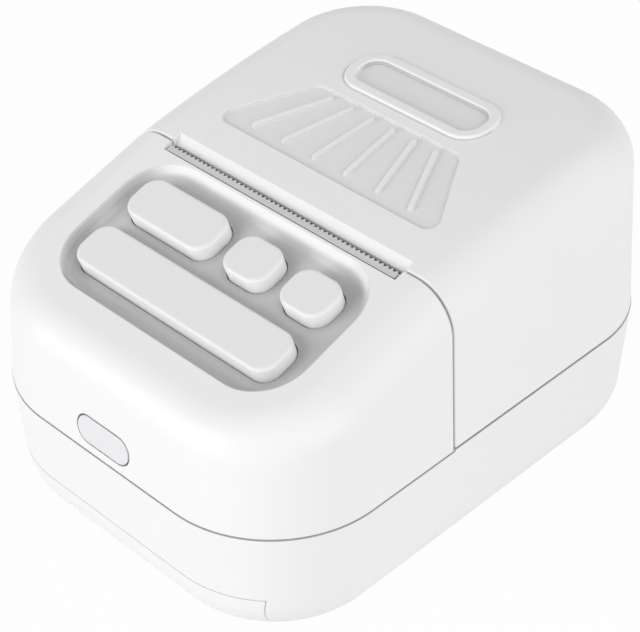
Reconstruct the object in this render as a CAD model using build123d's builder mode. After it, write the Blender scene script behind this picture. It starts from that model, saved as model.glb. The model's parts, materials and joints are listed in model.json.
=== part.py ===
from build123d import *
import math
import os

os.makedirs("parts", exist_ok=True)

# Portable thermal printer with a hinged hood, all sizes in millimetres.
# X runs to the right, Y to the back, Z up. The origin is on the ground under the middle of the case.

# Case
case_width = 84.0
case_depth = 110.0
front_corner_radius = 24.0
rear_corner_radius = 22.5
foot_height = 1.0
base_height = 27.3
base_draft = 3.3
bottom_radius = 11.0
wall = 2.0
seam_gap = 0.4
rim_line = 1.4
upper_height = 45.0
upper_setback = 0.1
front_lean = 6.0
side_lean = 2.5
rear_lean = 5.0
top_radius = 8.5
edge_radius = 0.3
seam_z = foot_height + base_height
floor_z = foot_height + wall
half_depth = case_depth / 2

# Split between the front housing and the hood
front_length = 45.0
split_y = front_length - half_depth
split_gap = 0.4
housing_edge_y = split_y - split_gap / 2
hood_edge_y = split_y + split_gap / 2

# Side view of the top: a flat sloping panel, a short crest and a long shallow arch
panel_slope = 18.0
split_z = 61.6
crest_run = 3.0
crest_radius = 60.0
hood_front_slope = 11.5
hood_arch_radius = 330.0
over = 20.0
hood_arch_angle = math.degrees((half_depth - split_y + over / 4) / hood_arch_radius)

# Keypad recess in the sloping panel, placed down the slope from the split
recess_width = case_width - 25.4
recess_rows = (3.3, 34.9)
recess_corner = 10.0
recess_depth = 2.8
recess_floor_rows = (5.5, 34.4)
recess_floor_inset = 0.5
recess_floor_corner = 9.2
recess_rim_radius = 0.4
recess_floor_radius = 1.0
tray_floor = 1.6

# Keys
key_proud = 0.5
key_corner = 3.4
key_gap = 0.25
key_top_radius = 0.6
key_travel = 0.6
key_space = 3.8
long_key_size = (recess_width - 8.4, 9.4)
small_key_size = (10.4, 8.8)
medium_key_size = (long_key_size[0] - 2 * (small_key_size[0] + key_space) - 0.4, 9.3)
front_row = 25.9
back_row = 12.9
long_key_x = -0.6
medium_key_x = long_key_x - (long_key_size[0] - medium_key_size[0]) / 2
small_key_pitch = small_key_size[0] + key_space
small_key_x = medium_key_x + (medium_key_size[0] + small_key_size[0]) / 2 + key_space

# Push switches: a flange holds each cap in, and a plunger under it runs in the switch
flange_reach = 1.0
flange_thick = 1.0
flange_gap = 0.15
switch_side = 6.0
switch_height = 3.0
switch_clearance = 0.4
plunger_radius = 1.6
plunger_gap = 0.08
plunger_depth = 1.0
switch_bore_depth = 2.4
circuit_board = 1.6
keypad_board_size = (recess_width + 1.6, 23.2)
keypad_board_centre = 19.6
keypad_post_x = recess_width / 2 - 0.7
keypad_post_rows = (10.0, 29.2)
keypad_post_radius = 1.6

# Power button in the front wall
button_x = -0.8
button_width = 13.5
button_height = 5.6
button_rise = 4.6
button_gap = 0.3
button_proud = 0.2
button_travel = 0.5
button_edge_radius = 0.4
button_board_size = (24.0, 10.0)
button_post_x = 9.8
button_board_lift = 1.2
screw_end_gap = 0.5

# Paper slot, tear bar and lip
slot_half = case_width / 2 - 13.1
seat_front = 2.7
tear_bar_front = 2.35
tear_bar_thick = 1.0
tear_bar_sink = 0.35
tear_bar_back = 0.8
tooth_count = 52
tooth_depth = 0.6
end_gap = 0.6
lip_setback = 0.4
lip_chamfer = 1.5

# Moulded pattern on the hood: a sunken fan with ribs and an oblong ring
relief_depth = 0.5
fan_front_y = split_y + 9.0
fan_front_half = 28.3
fan_back_y = split_y + 27.3
fan_back_half = 17.6
fan_front_corner = 2.2
fan_back_corner = 2.4
fan_edge_radius = 0.25
rib_width = 1.15
rib_front_y = fan_front_y + 2.3
rib_back_y = fan_back_y - 1.3
rib_front_pitch = 8.0
rib_back_pitch = 5.2
ribs_per_side = 3
ring_y = split_y + 36.0
ring_length = 34.4
ring_breadth = 11.8
ring_line = 2.1
ring_corner = 5.3
ring_height = 0.5
ring_edge_radius = 0.4
stiffener_pitch = 13.0
stiffener_thick = 1.2
stiffener_depth = 2.2
stiffener_count = 4

# Hinge at the back of the seam
hinge_y = half_depth - 2.6
heel_radius = 2.3
hinge_z = seam_z + seam_gap + heel_radius
knuckle_radius = 2.5
knuckle_gap = 0.3
barrel_half = 13.0
ear_length = 5.0
hinge_pin_radius = 1.0
hinge_block_drop = 5.0
running_gap = 0.05
fit_gap = 0.02

# Print mechanism
platen_y = split_y + 5.0
platen_z = 51.5
platen_radius = 4.5
platen_half = slot_half - 0.7
shaft_radius = 1.5
arm_inner = slot_half
arm_thick = 1.2
arm_radius = 4.2
side_plate_x = arm_inner + arm_thick + 0.4
sheet = 1.2
bush_radius = 2.6
bush_gap = 0.35
head_gap = 0.3
head_thick = 1.0
head_half = slot_half - 1.9
head_top_z = 55.0
head_foot_z = 46.0
heatsink_thick = 2.2
heatsink_foot_z = 41.0
heatsink_ear_half = side_plate_x - 0.3
frame_front_y = split_y - 9.5
frame_back_y = split_y + 11.0
frame_foot_z = 26.5
frame_top_z = 57.0
cross_wall_z = (35.0, 44.5)
spring_x = slot_half - 13.9
spring_z = 42.7
spring_radius = 1.5
spring_wire = 0.25
spring_turns = 5
tab_length = 8.0
tab_y = split_y
tab_reach = 4.3
pillar_margin = 0.5

# Gear train on the right side plate
gear_module = 0.5
gear_face = 2.2
gear_gap = 0.4
platen_teeth = 16
idler_teeth = 24
pinion_teeth = 10
backlash = 0.14
tooth_root_depth = 1.25
tooth_foot = 1.5
tooth_tip = 0.45
idler_bearing = -112.0
pinion_bearing = -80.0
motor_radius = 7.4
motor_length = 10.0
motor_boss_radius = 2.2
motor_boss_length = 0.9
motor_shaft_radius = 0.75
motor_shaft_sunk = 5.0
motor_end_gap = 0.3
stud_radius = 1.2
shaft_overrun = 0.6

# Platen holder under the front edge of the hood
holder_beam_y = (split_y + 6.0, split_y + 14.5)
holder_beam_z = (57.2, 59.0)
holder_boss_x = slot_half - 8.9
holder_boss_y = split_y + 11.0
holder_boss_radius = 2.4

# Paper tub in the back of the base, between the mechanism frame and the hinge
tub_wall = 1.6
tub_front_y = frame_back_y + 0.4
tub_back_y = hinge_y - knuckle_radius - 3.3
tub_foot_z = 10.4
roll_y = (tub_front_y + tub_back_y) / 2
roll_clear_radius = (tub_back_y - tub_front_y) / 2 - tub_wall
roll_z = tub_foot_z + tub_wall + roll_clear_radius
tub_half = slot_half + 0.5
tub_top_z = roll_z + 7.0
saddle_x = 18.0
saddle_thick = 2.4
saddle_half = 14.0

# Electrics in the base
board_z = 16.0
board_size = (case_width - 29.0, 38.0)
board_y = split_y - 4.0
battery_size = (board_size[0] - 9.0, 34.0, 9.6)
battery_y = split_y - 3.0
battery_edge = 2.0
battery_play = 0.3
tray_wall = 1.0
tray_height = 4.0
board_post_radius = 1.7
board_post_inset = (1.9, 2.5)
usb_y = board_y - 14.5
usb_size = (7.3, 8.9, 3.2)
usb_gap = 0.3
usb_mouth_x = 0.9 - case_width / 2
usb_tongue_width = 8.6
usb_tongue_end = 6.5 - case_width / 2

# Chips, wireless module, choke and power socket: place on the board, then length, breadth and height
board_chips = [
    ((-8.0, board_y - 8.0), (9.0, 9.0, 1.2)),
    ((14.0, board_y - 10.0), (13.0, 10.0, 2.2)),
    ((-18.0, board_y + 2.0), (6.0, 6.0, 3.0)),
    ((-6.0, board_y + 9.0), (5.0, 4.0, 1.2)),
    ((17.0, board_y + 8.0), (7.5, 5.0, 4.0)),
]
board_capacitors = [(4.0, board_y - 14.0), (-17.0, board_y - 10.0)]
capacitor_radius = 2.5
capacitor_height = 5.5
ribbon_socket = (22.0, 3.6, 2.4)
ribbon_half = 10.0
ribbon_thick = 0.25
ribbon_slack = 2.5
ribbon_bend = 4.0

# Cover under the base, with a lip that turns up over the front edge
cover_thick = 1.0
cover_gap = 0.2
cover_lip_z = 12.6
cover_lip_half = case_width / 2 - 9.0
cover_foot_half = case_width / 2 - 11.0
cover_back_y = split_y + 22.0
cover_screw = (case_width / 2 - 22.0, cover_back_y - 3.5)

# Feet and fasteners
foot_radius = 4.5
foot_chamfer = 0.3
foot_x = case_width / 2 - 20.0
feet = [(x, y) for x in (-foot_x, foot_x) for y in (split_y - 22.0, half_depth - 19.0)]
screw_radius = 1.0
screw_head_radius = 1.9
screw_head_height = 1.3
small_screw_radius = 0.7
small_head_radius = 1.4
small_head_height = 0.9
boss_radius = 2.6
boss_drop = 4.0
boss_top_z = seam_z - boss_drop
case_screw_seat_z = 6.6
case_screw_grip = 6.0
front_screw = (case_width / 2 - 15.5, 13.5 - half_depth)
rear_screw = (case_width / 2 - 7.4, split_y - 9.5)
case_screws = [(side * x, y) for x, y in (front_screw, rear_screw) for side in (1, -1)]

# The sloping panel, as a plane with its origin on the split
slope_sin = math.sin(math.radians(panel_slope))
slope_cos = math.cos(math.radians(panel_slope))
panel = Plane(origin=(0, split_y, split_z), x_dir=(1, 0, 0), z_dir=(0, -slope_sin, slope_cos))

# The front wall where the power button sits, as a plane facing out
front_tan = math.tan(math.radians(front_lean))
side_tan = math.tan(math.radians(side_lean))
rear_tan = math.tan(math.radians(rear_lean))
front_wall = Plane(
    origin=(button_x, -half_depth + upper_setback + button_rise * front_tan, seam_z + button_rise),
    x_dir=(1, 0, 0),
    z_dir=(0, -1, front_tan),
)


def on_panel(across, down):
    """Plane parallel to the panel, at a place across it and down the slope."""
    return Plane(origin=panel.from_local_coords((across, -down, 0)), x_dir=panel.x_dir, z_dir=panel.z_dir)


def block(x, y, z, mode=Mode.ADD):
    """Box between two limits along each axis."""
    middle = [(pair[0] + pair[1]) / 2 for pair in (x, y, z)]
    with Locations(tuple(middle)):
        Box(abs(x[1] - x[0]), abs(y[1] - y[0]), abs(z[1] - z[0]), mode=mode)


def bar(y, z, radius, x, mode=Mode.ADD):
    """Round bar along X between two limits."""
    with Locations(Plane(origin=((x[0] + x[1]) / 2, y, z), x_dir=(0, 1, 0), z_dir=(1, 0, 0))):
        Cylinder(radius, abs(x[1] - x[0]), mode=mode)


def post(x, y, radius, z, mode=Mode.ADD):
    """Upright round post between two heights."""
    with Locations((x, y, (z[0] + z[1]) / 2)):
        Cylinder(radius, z[1] - z[0], mode=mode)


def both_sides(limits):
    """The same pair of limits along X on the right and on the left."""
    return [limits, (-limits[1], -limits[0])]


def save(sub_part, name):
    """Name the piece and write it to its own file."""
    sub_part.part.label = name
    export_step(sub_part.part, f"parts/{name}.step")


# Forms of the two halves of the case


def case_outline(plane, front, side, back):
    """Rounded outline of the case, with each wall drawn in by its own distance."""
    with BuildSketch(plane) as outline:
        with Locations((0, (front - back) / 2)):
            Rectangle(case_width - 2 * side, case_depth - front - back)
        fillet(outline.vertices().sort_by(Axis.Y)[:2], front_corner_radius - (front + side) / 2)
        fillet(outline.vertices().sort_by(Axis.Y)[-2:], rear_corner_radius - (back + side) / 2)
    return outline.sketch.face()


def base_form(inset, rounding):
    """Lower half of the case, drawn in by an inset on every side."""
    facing_down = Plane(origin=(0, 0, seam_z), x_dir=(-1, 0, 0), z_dir=(0, 0, -1))
    with BuildPart() as form:
        extrude(case_outline(facing_down, inset, inset, inset), base_height - inset, taper=base_draft)
        fillet(form.faces().sort_by(Axis.Z)[0].edges(), rounding)
    return form.part


def upper_form(inset, skirt=0.0):
    """Upper half of the case: leaning walls under the sloping panel and the arched hood."""
    start_y = split_y - crest_run
    start_z = split_z - (crest_run * slope_sin + inset) / slope_cos
    front_y = -half_depth - over
    front_z = start_z - (start_y - front_y) * slope_sin / slope_cos
    outlines = []
    for height in (seam_z - skirt, seam_z + upper_height):
        rise = height - seam_z
        front, side, back = (upper_setback + inset + rise * tan for tan in (front_tan, side_tan, rear_tan))
        outlines.append(case_outline(Plane.XY.offset(height), front, side, back))
    with BuildPart() as form:
        loft(outlines, ruled=True)
        with BuildSketch(Plane.YZ):
            with BuildLine():
                slope = Line((front_y, front_z), (start_y, start_z))
                crest = JernArc(slope @ 1, slope % 1, crest_radius, hood_front_slope - panel_slope)
                arch = JernArc(crest @ 1, crest % 1, hood_arch_radius, -hood_arch_angle)
                Polyline(arch @ 1, ((arch @ 1).X, 0), (front_y, 0), (front_y, front_z))
            make_face()
        extrude(amount=case_width, both=True, mode=Mode.INTERSECT)
        fillet([edge for edge in form.edges() if is_top_rim(edge)], top_radius - inset)
    return form.part


def is_top_rim(edge):
    """True for the edges round the top, not those that climb the walls or cross the middle."""
    box = edge.bounding_box()
    climbs = box.min.Z < seam_z + wall
    crosses = box.size.X > case_width / 2 and -half_depth / 2 < edge.center().Y < half_depth / 2
    return not climbs and not crosses


base_outer = base_form(0, bottom_radius)
base_inner = base_form(wall, bottom_radius - wall)
upper_outer = upper_form(0)
upper_inner = upper_form(wall, skirt=wall)



def is_split_edge(edge, y):
    """True for an outer edge of the upper half where it's cut across at y."""
    across = edge.bounding_box().size.Y < fit_gap and abs((edge @ 0.5).Y - y) < fit_gap
    return across and upper_inner.distance_to(edge @ 0.5) > wall / 2


# Bottom cover: the front lip follows the rounded edge of the base


def cover_zone(gap, inset):
    """Skin of the base that the bottom cover takes up, from outside down to an inset."""
    core = base_form(inset, bottom_radius - inset)
    with BuildPart() as zone:
        add(base_outer)
        add(core, mode=Mode.SUBTRACT)
        with BuildSketch(Plane.XZ.offset(-cover_back_y - gap)):
            with BuildLine():
                Polyline(
                    (-cover_lip_half - gap, cover_lip_z + gap),
                    (cover_lip_half + gap, cover_lip_z + gap),
                    (cover_foot_half + gap, 0),
                    (-cover_foot_half - gap, 0),
                    close=True,
                )
            make_face()
        extrude(amount=case_depth, mode=Mode.INTERSECT)
    return zone.part


cover_skin = cover_zone(0, cover_thick - fit_gap)
cover_seat = cover_zone(cover_gap, cover_thick)
cover_screws = [(x, cover_screw[1]) for x in (-cover_screw[0], cover_screw[0])]
cover_seat_z = foot_height + cover_thick

with BuildPart() as bottom_cover:
    add(cover_skin)
    for x, y in cover_screws:
        with Locations((x, y, foot_height + cover_thick / 2)):
            Cone(screw_head_radius + fit_gap, screw_radius + fit_gap, cover_thick, mode=Mode.SUBTRACT)
save(bottom_cover, "bottom_cover")

with BuildPart() as rubber_feet:
    with BuildSketch():
        with Locations(*feet):
            Circle(foot_radius)
    extrude(amount=foot_height)
    chamfer(rubber_feet.faces().filter_by(Axis.Z).group_by(Axis.Z)[0].edges(), foot_chamfer)
save(rubber_feet, "rubber_feet")


# Base case: everything that stands up from the floor is left out of the hollow

board_left = -board_size[0] / 2
board_post_x = board_size[0] / 2 - board_post_inset[0]
board_post_y = board_size[1] / 2 - board_post_inset[1]
board_posts = [
    (side * board_post_x, board_y + end * board_post_y)
    for side in (-1, 1)
    for end in (-1, 1)
]
plate_outer_x = side_plate_x + sheet
tab_screw_x = plate_outer_x + tab_reach / 2
pillar_x = (side_plate_x, plate_outer_x + tab_reach)
pillar_y = (tab_y - tab_length / 2 - pillar_margin, tab_y + tab_length / 2 + pillar_margin)
battery_half = (battery_size[0] / 2 + battery_play, battery_size[1] / 2 + battery_play)
usb_z = board_z + circuit_board + usb_size[2] / 2
tub_outer_radius = roll_clear_radius + tub_wall
saddle_y = (roll_y - saddle_half, roll_y + saddle_half)
screw_hole_z = (frame_foot_z - case_screw_grip, frame_foot_z)

with BuildPart() as base_hollow:
    add(base_inner)
    for x, y in case_screws:
        post(x, y, boss_radius, (0, boss_top_z), Mode.SUBTRACT)
    for x, y in board_posts:
        post(x, y, board_post_radius, (0, board_z), Mode.SUBTRACT)
    for x, y in cover_screws:
        post(x, y, boss_radius, (0, floor_z + tray_height), Mode.SUBTRACT)
    for x in both_sides(pillar_x):
        block(x, pillar_y, (0, frame_foot_z), Mode.SUBTRACT)
    for x in both_sides((saddle_x - saddle_thick / 2, saddle_x + saddle_thick / 2)):
        block(x, saddle_y, (0, roll_z - tub_outer_radius / 2), Mode.SUBTRACT)
    with BuildSketch(Plane.XY.offset(floor_z)):
        with Locations((0, battery_y)):
            Rectangle(2 * (battery_half[0] + tray_wall), 2 * (battery_half[1] + tray_wall))
            Rectangle(2 * battery_half[0], 2 * battery_half[1], mode=Mode.SUBTRACT)
    extrude(amount=tray_height, mode=Mode.SUBTRACT)
    block(
        (-barrel_half, barrel_half),
        (hinge_y - knuckle_radius, half_depth),
        (seam_z - hinge_block_drop, seam_z),
        Mode.SUBTRACT,
    )

with BuildPart() as base_case:
    add(base_outer)
    add(base_hollow.part, mode=Mode.SUBTRACT)
    add(cover_seat, mode=Mode.SUBTRACT)
    bar(roll_y, roll_z, tub_outer_radius + fit_gap, (-tub_half, tub_half), Mode.SUBTRACT)
    block(
        (-battery_half[0] + battery_edge, battery_half[0] - battery_edge),
        (battery_y - battery_half[1] + battery_edge, battery_y + battery_half[1] - battery_edge),
        (0, floor_z),
        Mode.SUBTRACT,
    )
    for x, y in case_screws:
        post(x, y, screw_radius + running_gap, (0, seam_z), Mode.SUBTRACT)
        post(x, y, screw_head_radius + cover_gap, (0, case_screw_seat_z), Mode.SUBTRACT)
    for x, y in board_posts:
        post(x, y, small_screw_radius + fit_gap, (floor_z + wall, board_z), Mode.SUBTRACT)
    for x, y in cover_screws:
        post(x, y, screw_radius + fit_gap, (0, floor_z + tray_height), Mode.SUBTRACT)
    for x in (-tab_screw_x, tab_screw_x):
        post(x, tab_y, screw_radius + fit_gap, screw_hole_z, Mode.SUBTRACT)
    # Shadow line along the seam under the front housing
    with BuildSketch(Plane.XY.offset(seam_z - seam_gap)):
        Rectangle(2 * case_width, 2 * case_depth)
        add(case_outline(Plane.XY, rim_line, rim_line, rim_line), mode=Mode.SUBTRACT)
        with Locations((0, hood_edge_y + case_depth / 2)):
            Rectangle(2 * case_width, case_depth, mode=Mode.SUBTRACT)
    extrude(amount=seam_gap, mode=Mode.SUBTRACT)
    # Hinge barrel with a notch each side for the ears of the hood
    for x in both_sides((barrel_half, barrel_half + ear_length + 2 * knuckle_gap)):
        bar(hinge_y, hinge_z, knuckle_radius + knuckle_gap, x, Mode.SUBTRACT)
    block(
        (-barrel_half, barrel_half),
        (hinge_y - knuckle_radius, hinge_y + knuckle_radius - knuckle_gap),
        (seam_z - hinge_block_drop, hinge_z),
    )
    bar(hinge_y, hinge_z, knuckle_radius, (-barrel_half, barrel_half))
    bar(hinge_y, hinge_z, hinge_pin_radius + fit_gap, (-barrel_half, barrel_half), Mode.SUBTRACT)
    # Opening for the charging socket in the left wall
    with BuildSketch(Plane.YZ.offset(-case_width / 2 - wall)):
        with Locations((usb_y, usb_z)):
            SlotOverall(usb_size[1] + 2 * usb_gap, usb_size[2] + 2 * usb_gap)
    extrude(amount=3 * wall, mode=Mode.SUBTRACT)
save(base_case, "base_case")

with BuildPart() as hinge_pin:
    bar(hinge_y, hinge_z, hinge_pin_radius, (-barrel_half - ear_length, barrel_half + ear_length))
save(hinge_pin, "hinge_pin")


# Front housing: shell, sunken keypad tray, windows, seat of the tear bar and bosses

keys = [
    ("long_key", long_key_x, front_row, long_key_size),
    ("medium_key", medium_key_x, back_row, medium_key_size),
    ("small_key_left", small_key_x, back_row, small_key_size),
    ("small_key_right", small_key_x + small_key_pitch, back_row, small_key_size),
]
tray_depth = recess_depth + tray_floor
flange_depth = tray_depth + flange_gap + flange_thick
switch_depth = flange_depth + key_travel + switch_clearance
keypad_board_depth = switch_depth + switch_height
button_flange_depth = wall + flange_gap + flange_thick
button_switch_depth = button_flange_depth + button_travel + switch_clearance
button_board_depth = button_switch_depth + switch_height
keypad_posts = [(side * keypad_post_x, row) for side in (-1, 1) for row in keypad_post_rows]
button_posts = [(side * button_post_x, button_board_lift) for side in (-1, 1)]
housing_boss_z = (boss_top_z, seam_z + case_screw_grip)


def recess_outline(rows, half_width, corner, margin=0.0):
    """Rounded oblong between two rows down the panel, with a margin beyond both."""
    with Locations((0, -(rows[0] + rows[1]) / 2)):
        RectangleRounded(2 * half_width, rows[1] - rows[0] + 2 * margin, corner)


with BuildPart() as housing_hollow:
    add(upper_inner)
    for x, y in case_screws:
        reach = case_width / 2 * math.copysign(1, x)
        block((x, reach), (y - sheet / 2, y + sheet / 2), (seam_z, housing_boss_z[1]), Mode.SUBTRACT)
        post(x, y, boss_radius, (seam_z - wall, housing_boss_z[1]), Mode.SUBTRACT)
    with BuildSketch(panel.offset(-tray_depth)):
        recess_outline(recess_rows, recess_width / 2 + tray_floor, recess_corner + tray_floor, tray_floor)
    extrude(amount=tray_depth, mode=Mode.SUBTRACT)
    with BuildSketch(panel.offset(-keypad_board_depth)):
        with Locations(*[(x, -row) for x, row in keypad_posts]):
            Circle(keypad_post_radius)
    extrude(amount=keypad_board_depth - recess_depth, mode=Mode.SUBTRACT)
    with BuildSketch(front_wall.offset(-button_board_depth)):
        with Locations(*button_posts):
            Circle(keypad_post_radius)
    extrude(amount=button_board_depth, mode=Mode.SUBTRACT)

# The recess slopes in from the panel to its floor, most of all along the back
with BuildPart() as recess_form:
    with BuildSketch(panel.offset(-recess_depth)):
        recess_outline(recess_floor_rows, recess_width / 2 - recess_floor_inset, recess_floor_corner)
    with BuildSketch(panel):
        recess_outline(recess_rows, recess_width / 2, recess_corner)
    loft(ruled=True)
    fillet(recess_form.faces().sort_by(Axis(panel.origin, panel.z_dir))[0].edges(), recess_floor_radius)


def is_recess_rim(edge):
    """True for the edges where the recess meets the panel."""
    place = panel.to_local_coords(edge.center())
    across = abs(place.X) < recess_width / 2 + wall
    along = recess_rows[0] - wall < -place.Y < recess_rows[1] + wall
    return abs(place.Z) < fit_gap and across and along


with BuildPart() as front_housing:
    add(upper_outer)
    add(housing_hollow.part, mode=Mode.SUBTRACT)
    block((-case_width, case_width), (housing_edge_y, case_depth), (0, 2 * split_z), Mode.SUBTRACT)
    fillet([edge for edge in front_housing.edges() if is_split_edge(edge, housing_edge_y)], edge_radius)
    for x, y in case_screws:
        post(x, y, boss_radius, (boss_top_z, seam_z))
        post(x, y, screw_radius + fit_gap, housing_boss_z, Mode.SUBTRACT)
    # Keypad recess with soft edges
    add(recess_form.part, mode=Mode.SUBTRACT)
    fillet([edge for edge in front_housing.edges() if is_recess_rim(edge)], recess_rim_radius)
    for name, across, down, (width, length) in keys:
        with BuildSketch(on_panel(across, down).offset(-tray_depth)):
            RectangleRounded(width + 2 * key_gap, length + 2 * key_gap, key_corner + key_gap)
        extrude(amount=tray_depth, mode=Mode.SUBTRACT)
    with BuildSketch(panel.offset(-keypad_board_depth)):
        with Locations(*[(x, -row) for x, row in keypad_posts]):
            Circle(small_screw_radius + fit_gap)
    extrude(amount=switch_height, mode=Mode.SUBTRACT)
    # Window of the power button, and the holes for the screws of its board
    with BuildSketch(front_wall.offset(-2 * wall)):
        SlotOverall(button_width + 2 * button_gap, button_height + 2 * button_gap)
    extrude(amount=3 * wall, mode=Mode.SUBTRACT)
    with BuildSketch(front_wall.offset(-button_board_depth)):
        with Locations(*button_posts):
            Circle(small_screw_radius + fit_gap)
    extrude(amount=switch_height, mode=Mode.SUBTRACT)
    # Seat of the tear bar
    with BuildSketch(panel.offset(-tear_bar_sink - tear_bar_thick)):
        with Locations((0, (over - seat_front) / 2)):
            Rectangle(2 * (slot_half + end_gap), seat_front + over)
    extrude(amount=over, mode=Mode.SUBTRACT)
save(front_housing, "front_housing")

# Tear bar: a steel strip with a row of teeth along its back edge
with BuildPart() as tear_bar:
    with BuildSketch(panel.offset(-tear_bar_sink - tear_bar_thick)):
        with BuildLine():
            pitch = 2 * slot_half / tooth_count
            root = -tear_bar_back - tooth_depth
            teeth = [
                (-slot_half + pitch * step / 2, root + tooth_depth * (step % 2))
                for step in range(2 * tooth_count + 1)
            ]
            Polyline(*teeth, (slot_half, -tear_bar_front), (-slot_half, -tear_bar_front), close=True)
        make_face()
    extrude(amount=tear_bar_thick)
save(tear_bar, "tear_bar")


# Keys, each with the plunger that it pushes

for name, across, down, (width, length) in keys:
    place = on_panel(across, down)
    with BuildPart() as key:
        with BuildSketch(place.offset(-flange_depth)):
            RectangleRounded(width + 2 * flange_reach, length + 2 * flange_reach, key_corner + flange_reach)
        extrude(amount=flange_thick)
        with BuildSketch(place.offset(-flange_depth)):
            RectangleRounded(width, length, key_corner)
        extrude(amount=flange_depth + key_proud)
        key_top = key.faces().sort_by(Axis(place.origin, place.z_dir))[-1]
        fillet(key_top.edges(), key_top_radius)
    save(key, name)
    with BuildPart() as plunger:
        with BuildSketch(place.offset(-switch_depth - plunger_depth)):
            Circle(plunger_radius)
        extrude(amount=switch_depth + plunger_depth - flange_depth)
    save(plunger, f"{name}_plunger")

with BuildPart() as key_switches:
    for name, across, down, size in keys:
        with BuildSketch(on_panel(across, down).offset(-keypad_board_depth)):
            Rectangle(switch_side, switch_side)
        extrude(amount=switch_height)
        with BuildSketch(on_panel(across, down).offset(-switch_depth - switch_bore_depth)):
            Circle(plunger_radius + plunger_gap)
        extrude(amount=switch_bore_depth, mode=Mode.SUBTRACT)
save(key_switches, "key_switches")

with BuildPart() as keypad_board:
    with BuildSketch(panel.offset(-keypad_board_depth)):
        with Locations((0, -keypad_board_centre)):
            Rectangle(*keypad_board_size)
        with Locations(*[(x, -row) for x, row in keypad_posts]):
            Circle(small_screw_radius + fit_gap, mode=Mode.SUBTRACT)
    extrude(amount=-circuit_board)
save(keypad_board, "keypad_board")


def small_screws(plane, places, length):
    """Small screws with their heads on top of a plane, pointing down through it."""
    with BuildPart() as screws:
        with BuildSketch(plane):
            with Locations(*places):
                Circle(small_head_radius)
        extrude(amount=small_head_height)
        with BuildSketch(plane):
            with Locations(*places):
                Circle(small_screw_radius)
        extrude(amount=-length)
    return screws


keypad_back_depth = keypad_board_depth + circuit_board
keypad_back = Plane(panel.offset(-keypad_back_depth).origin, x_dir=(1, 0, 0), z_dir=-panel.z_dir)
board_screw_length = circuit_board + switch_height - screw_end_gap
keypad_screws = small_screws(keypad_back, keypad_posts, board_screw_length)
save(keypad_screws, "keypad_screws")


# Power button, its plunger, switch and board behind the front wall

with BuildPart() as power_button:
    with BuildSketch(front_wall.offset(-button_flange_depth)):
        SlotOverall(button_width + 2 * flange_reach, button_height + 2 * flange_reach)
    extrude(amount=flange_thick)
    with BuildSketch(front_wall.offset(-button_flange_depth)):
        SlotOverall(button_width, button_height)
    extrude(amount=button_flange_depth + button_proud)
    button_front = power_button.faces().sort_by(Axis(front_wall.origin, front_wall.z_dir))[-1]
    fillet(button_front.edges(), button_edge_radius)
save(power_button, "power_button")

with BuildPart() as power_button_plunger:
    with BuildSketch(front_wall.offset(-button_switch_depth - plunger_depth)):
        Circle(plunger_radius)
    extrude(amount=button_switch_depth + plunger_depth - button_flange_depth)
save(power_button_plunger, "power_button_plunger")

with BuildPart() as power_switch:
    with BuildSketch(front_wall.offset(-button_board_depth)):
        Rectangle(switch_side, switch_side)
    extrude(amount=switch_height)
    with BuildSketch(front_wall.offset(-button_switch_depth - switch_bore_depth)):
        Circle(plunger_radius + plunger_gap)
    extrude(amount=switch_bore_depth, mode=Mode.SUBTRACT)
save(power_switch, "power_switch")

with BuildPart() as power_board:
    with BuildSketch(front_wall.offset(-button_board_depth)):
        with Locations((0, button_board_lift)):
            Rectangle(*button_board_size)
        with Locations(*button_posts):
            Circle(small_screw_radius + fit_gap, mode=Mode.SUBTRACT)
    extrude(amount=-circuit_board)
save(power_board, "power_board")

power_back = Plane(
    front_wall.offset(-button_board_depth - circuit_board).origin, x_dir=(1, 0, 0), z_dir=-front_wall.z_dir
)
power_board_screws = small_screws(power_back, [(x, -y) for x, y in button_posts], board_screw_length)
save(power_board_screws, "power_board_screws")


# Hood: shell with the moulded pattern, paper lip, rounded heel, hinge ears, bosses and stiffeners

relief_floor = upper_form(relief_depth)
raised_form = upper_form(-ring_height)
high = 2 * split_z
stiffeners = [(index - (stiffener_count - 1) / 2) * stiffener_pitch for index in range(stiffener_count)]
stiffener_y = (holder_beam_y[1] + wall, hinge_y - 2 * wall)
holder_bosses = [(x, holder_boss_y) for x in (-holder_boss_x, holder_boss_x)]
ring_inside = (ring_length - 2 * ring_line, ring_breadth - 2 * ring_line, ring_corner - ring_line)

with BuildPart() as fan_cut:
    with BuildSketch() as fan_cut_outline:
        with BuildLine():
            Polyline(
                (-fan_front_half, fan_front_y),
                (fan_front_half, fan_front_y),
                (fan_back_half, fan_back_y),
                (-fan_back_half, fan_back_y),
                close=True,
            )
        make_face()
        fillet(fan_cut_outline.vertices().sort_by(Axis.Y)[:2], fan_front_corner)
        fillet(fan_cut_outline.vertices().sort_by(Axis.Y)[-2:], fan_back_corner)
        for side in (-1, 1):
            for number in range(ribs_per_side):
                front_x = side * (number + 0.5) * rib_front_pitch
                back_x = side * (number + 0.5) * rib_back_pitch
                run = rib_back_y - rib_front_y
                turn = math.degrees(math.atan2(run, back_x - front_x))
                with Locations(Location(((front_x + back_x) / 2, (rib_front_y + rib_back_y) / 2, 0), turn)):
                    SlotOverall(math.hypot(back_x - front_x, run), rib_width, mode=Mode.SUBTRACT)
    extrude(amount=high)
    add(relief_floor, mode=Mode.SUBTRACT)

with BuildPart() as ring_cut:
    with BuildSketch():
        with Locations((0, ring_y)):
            RectangleRounded(*ring_inside)
    extrude(amount=high)
    add(relief_floor, mode=Mode.SUBTRACT)

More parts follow.
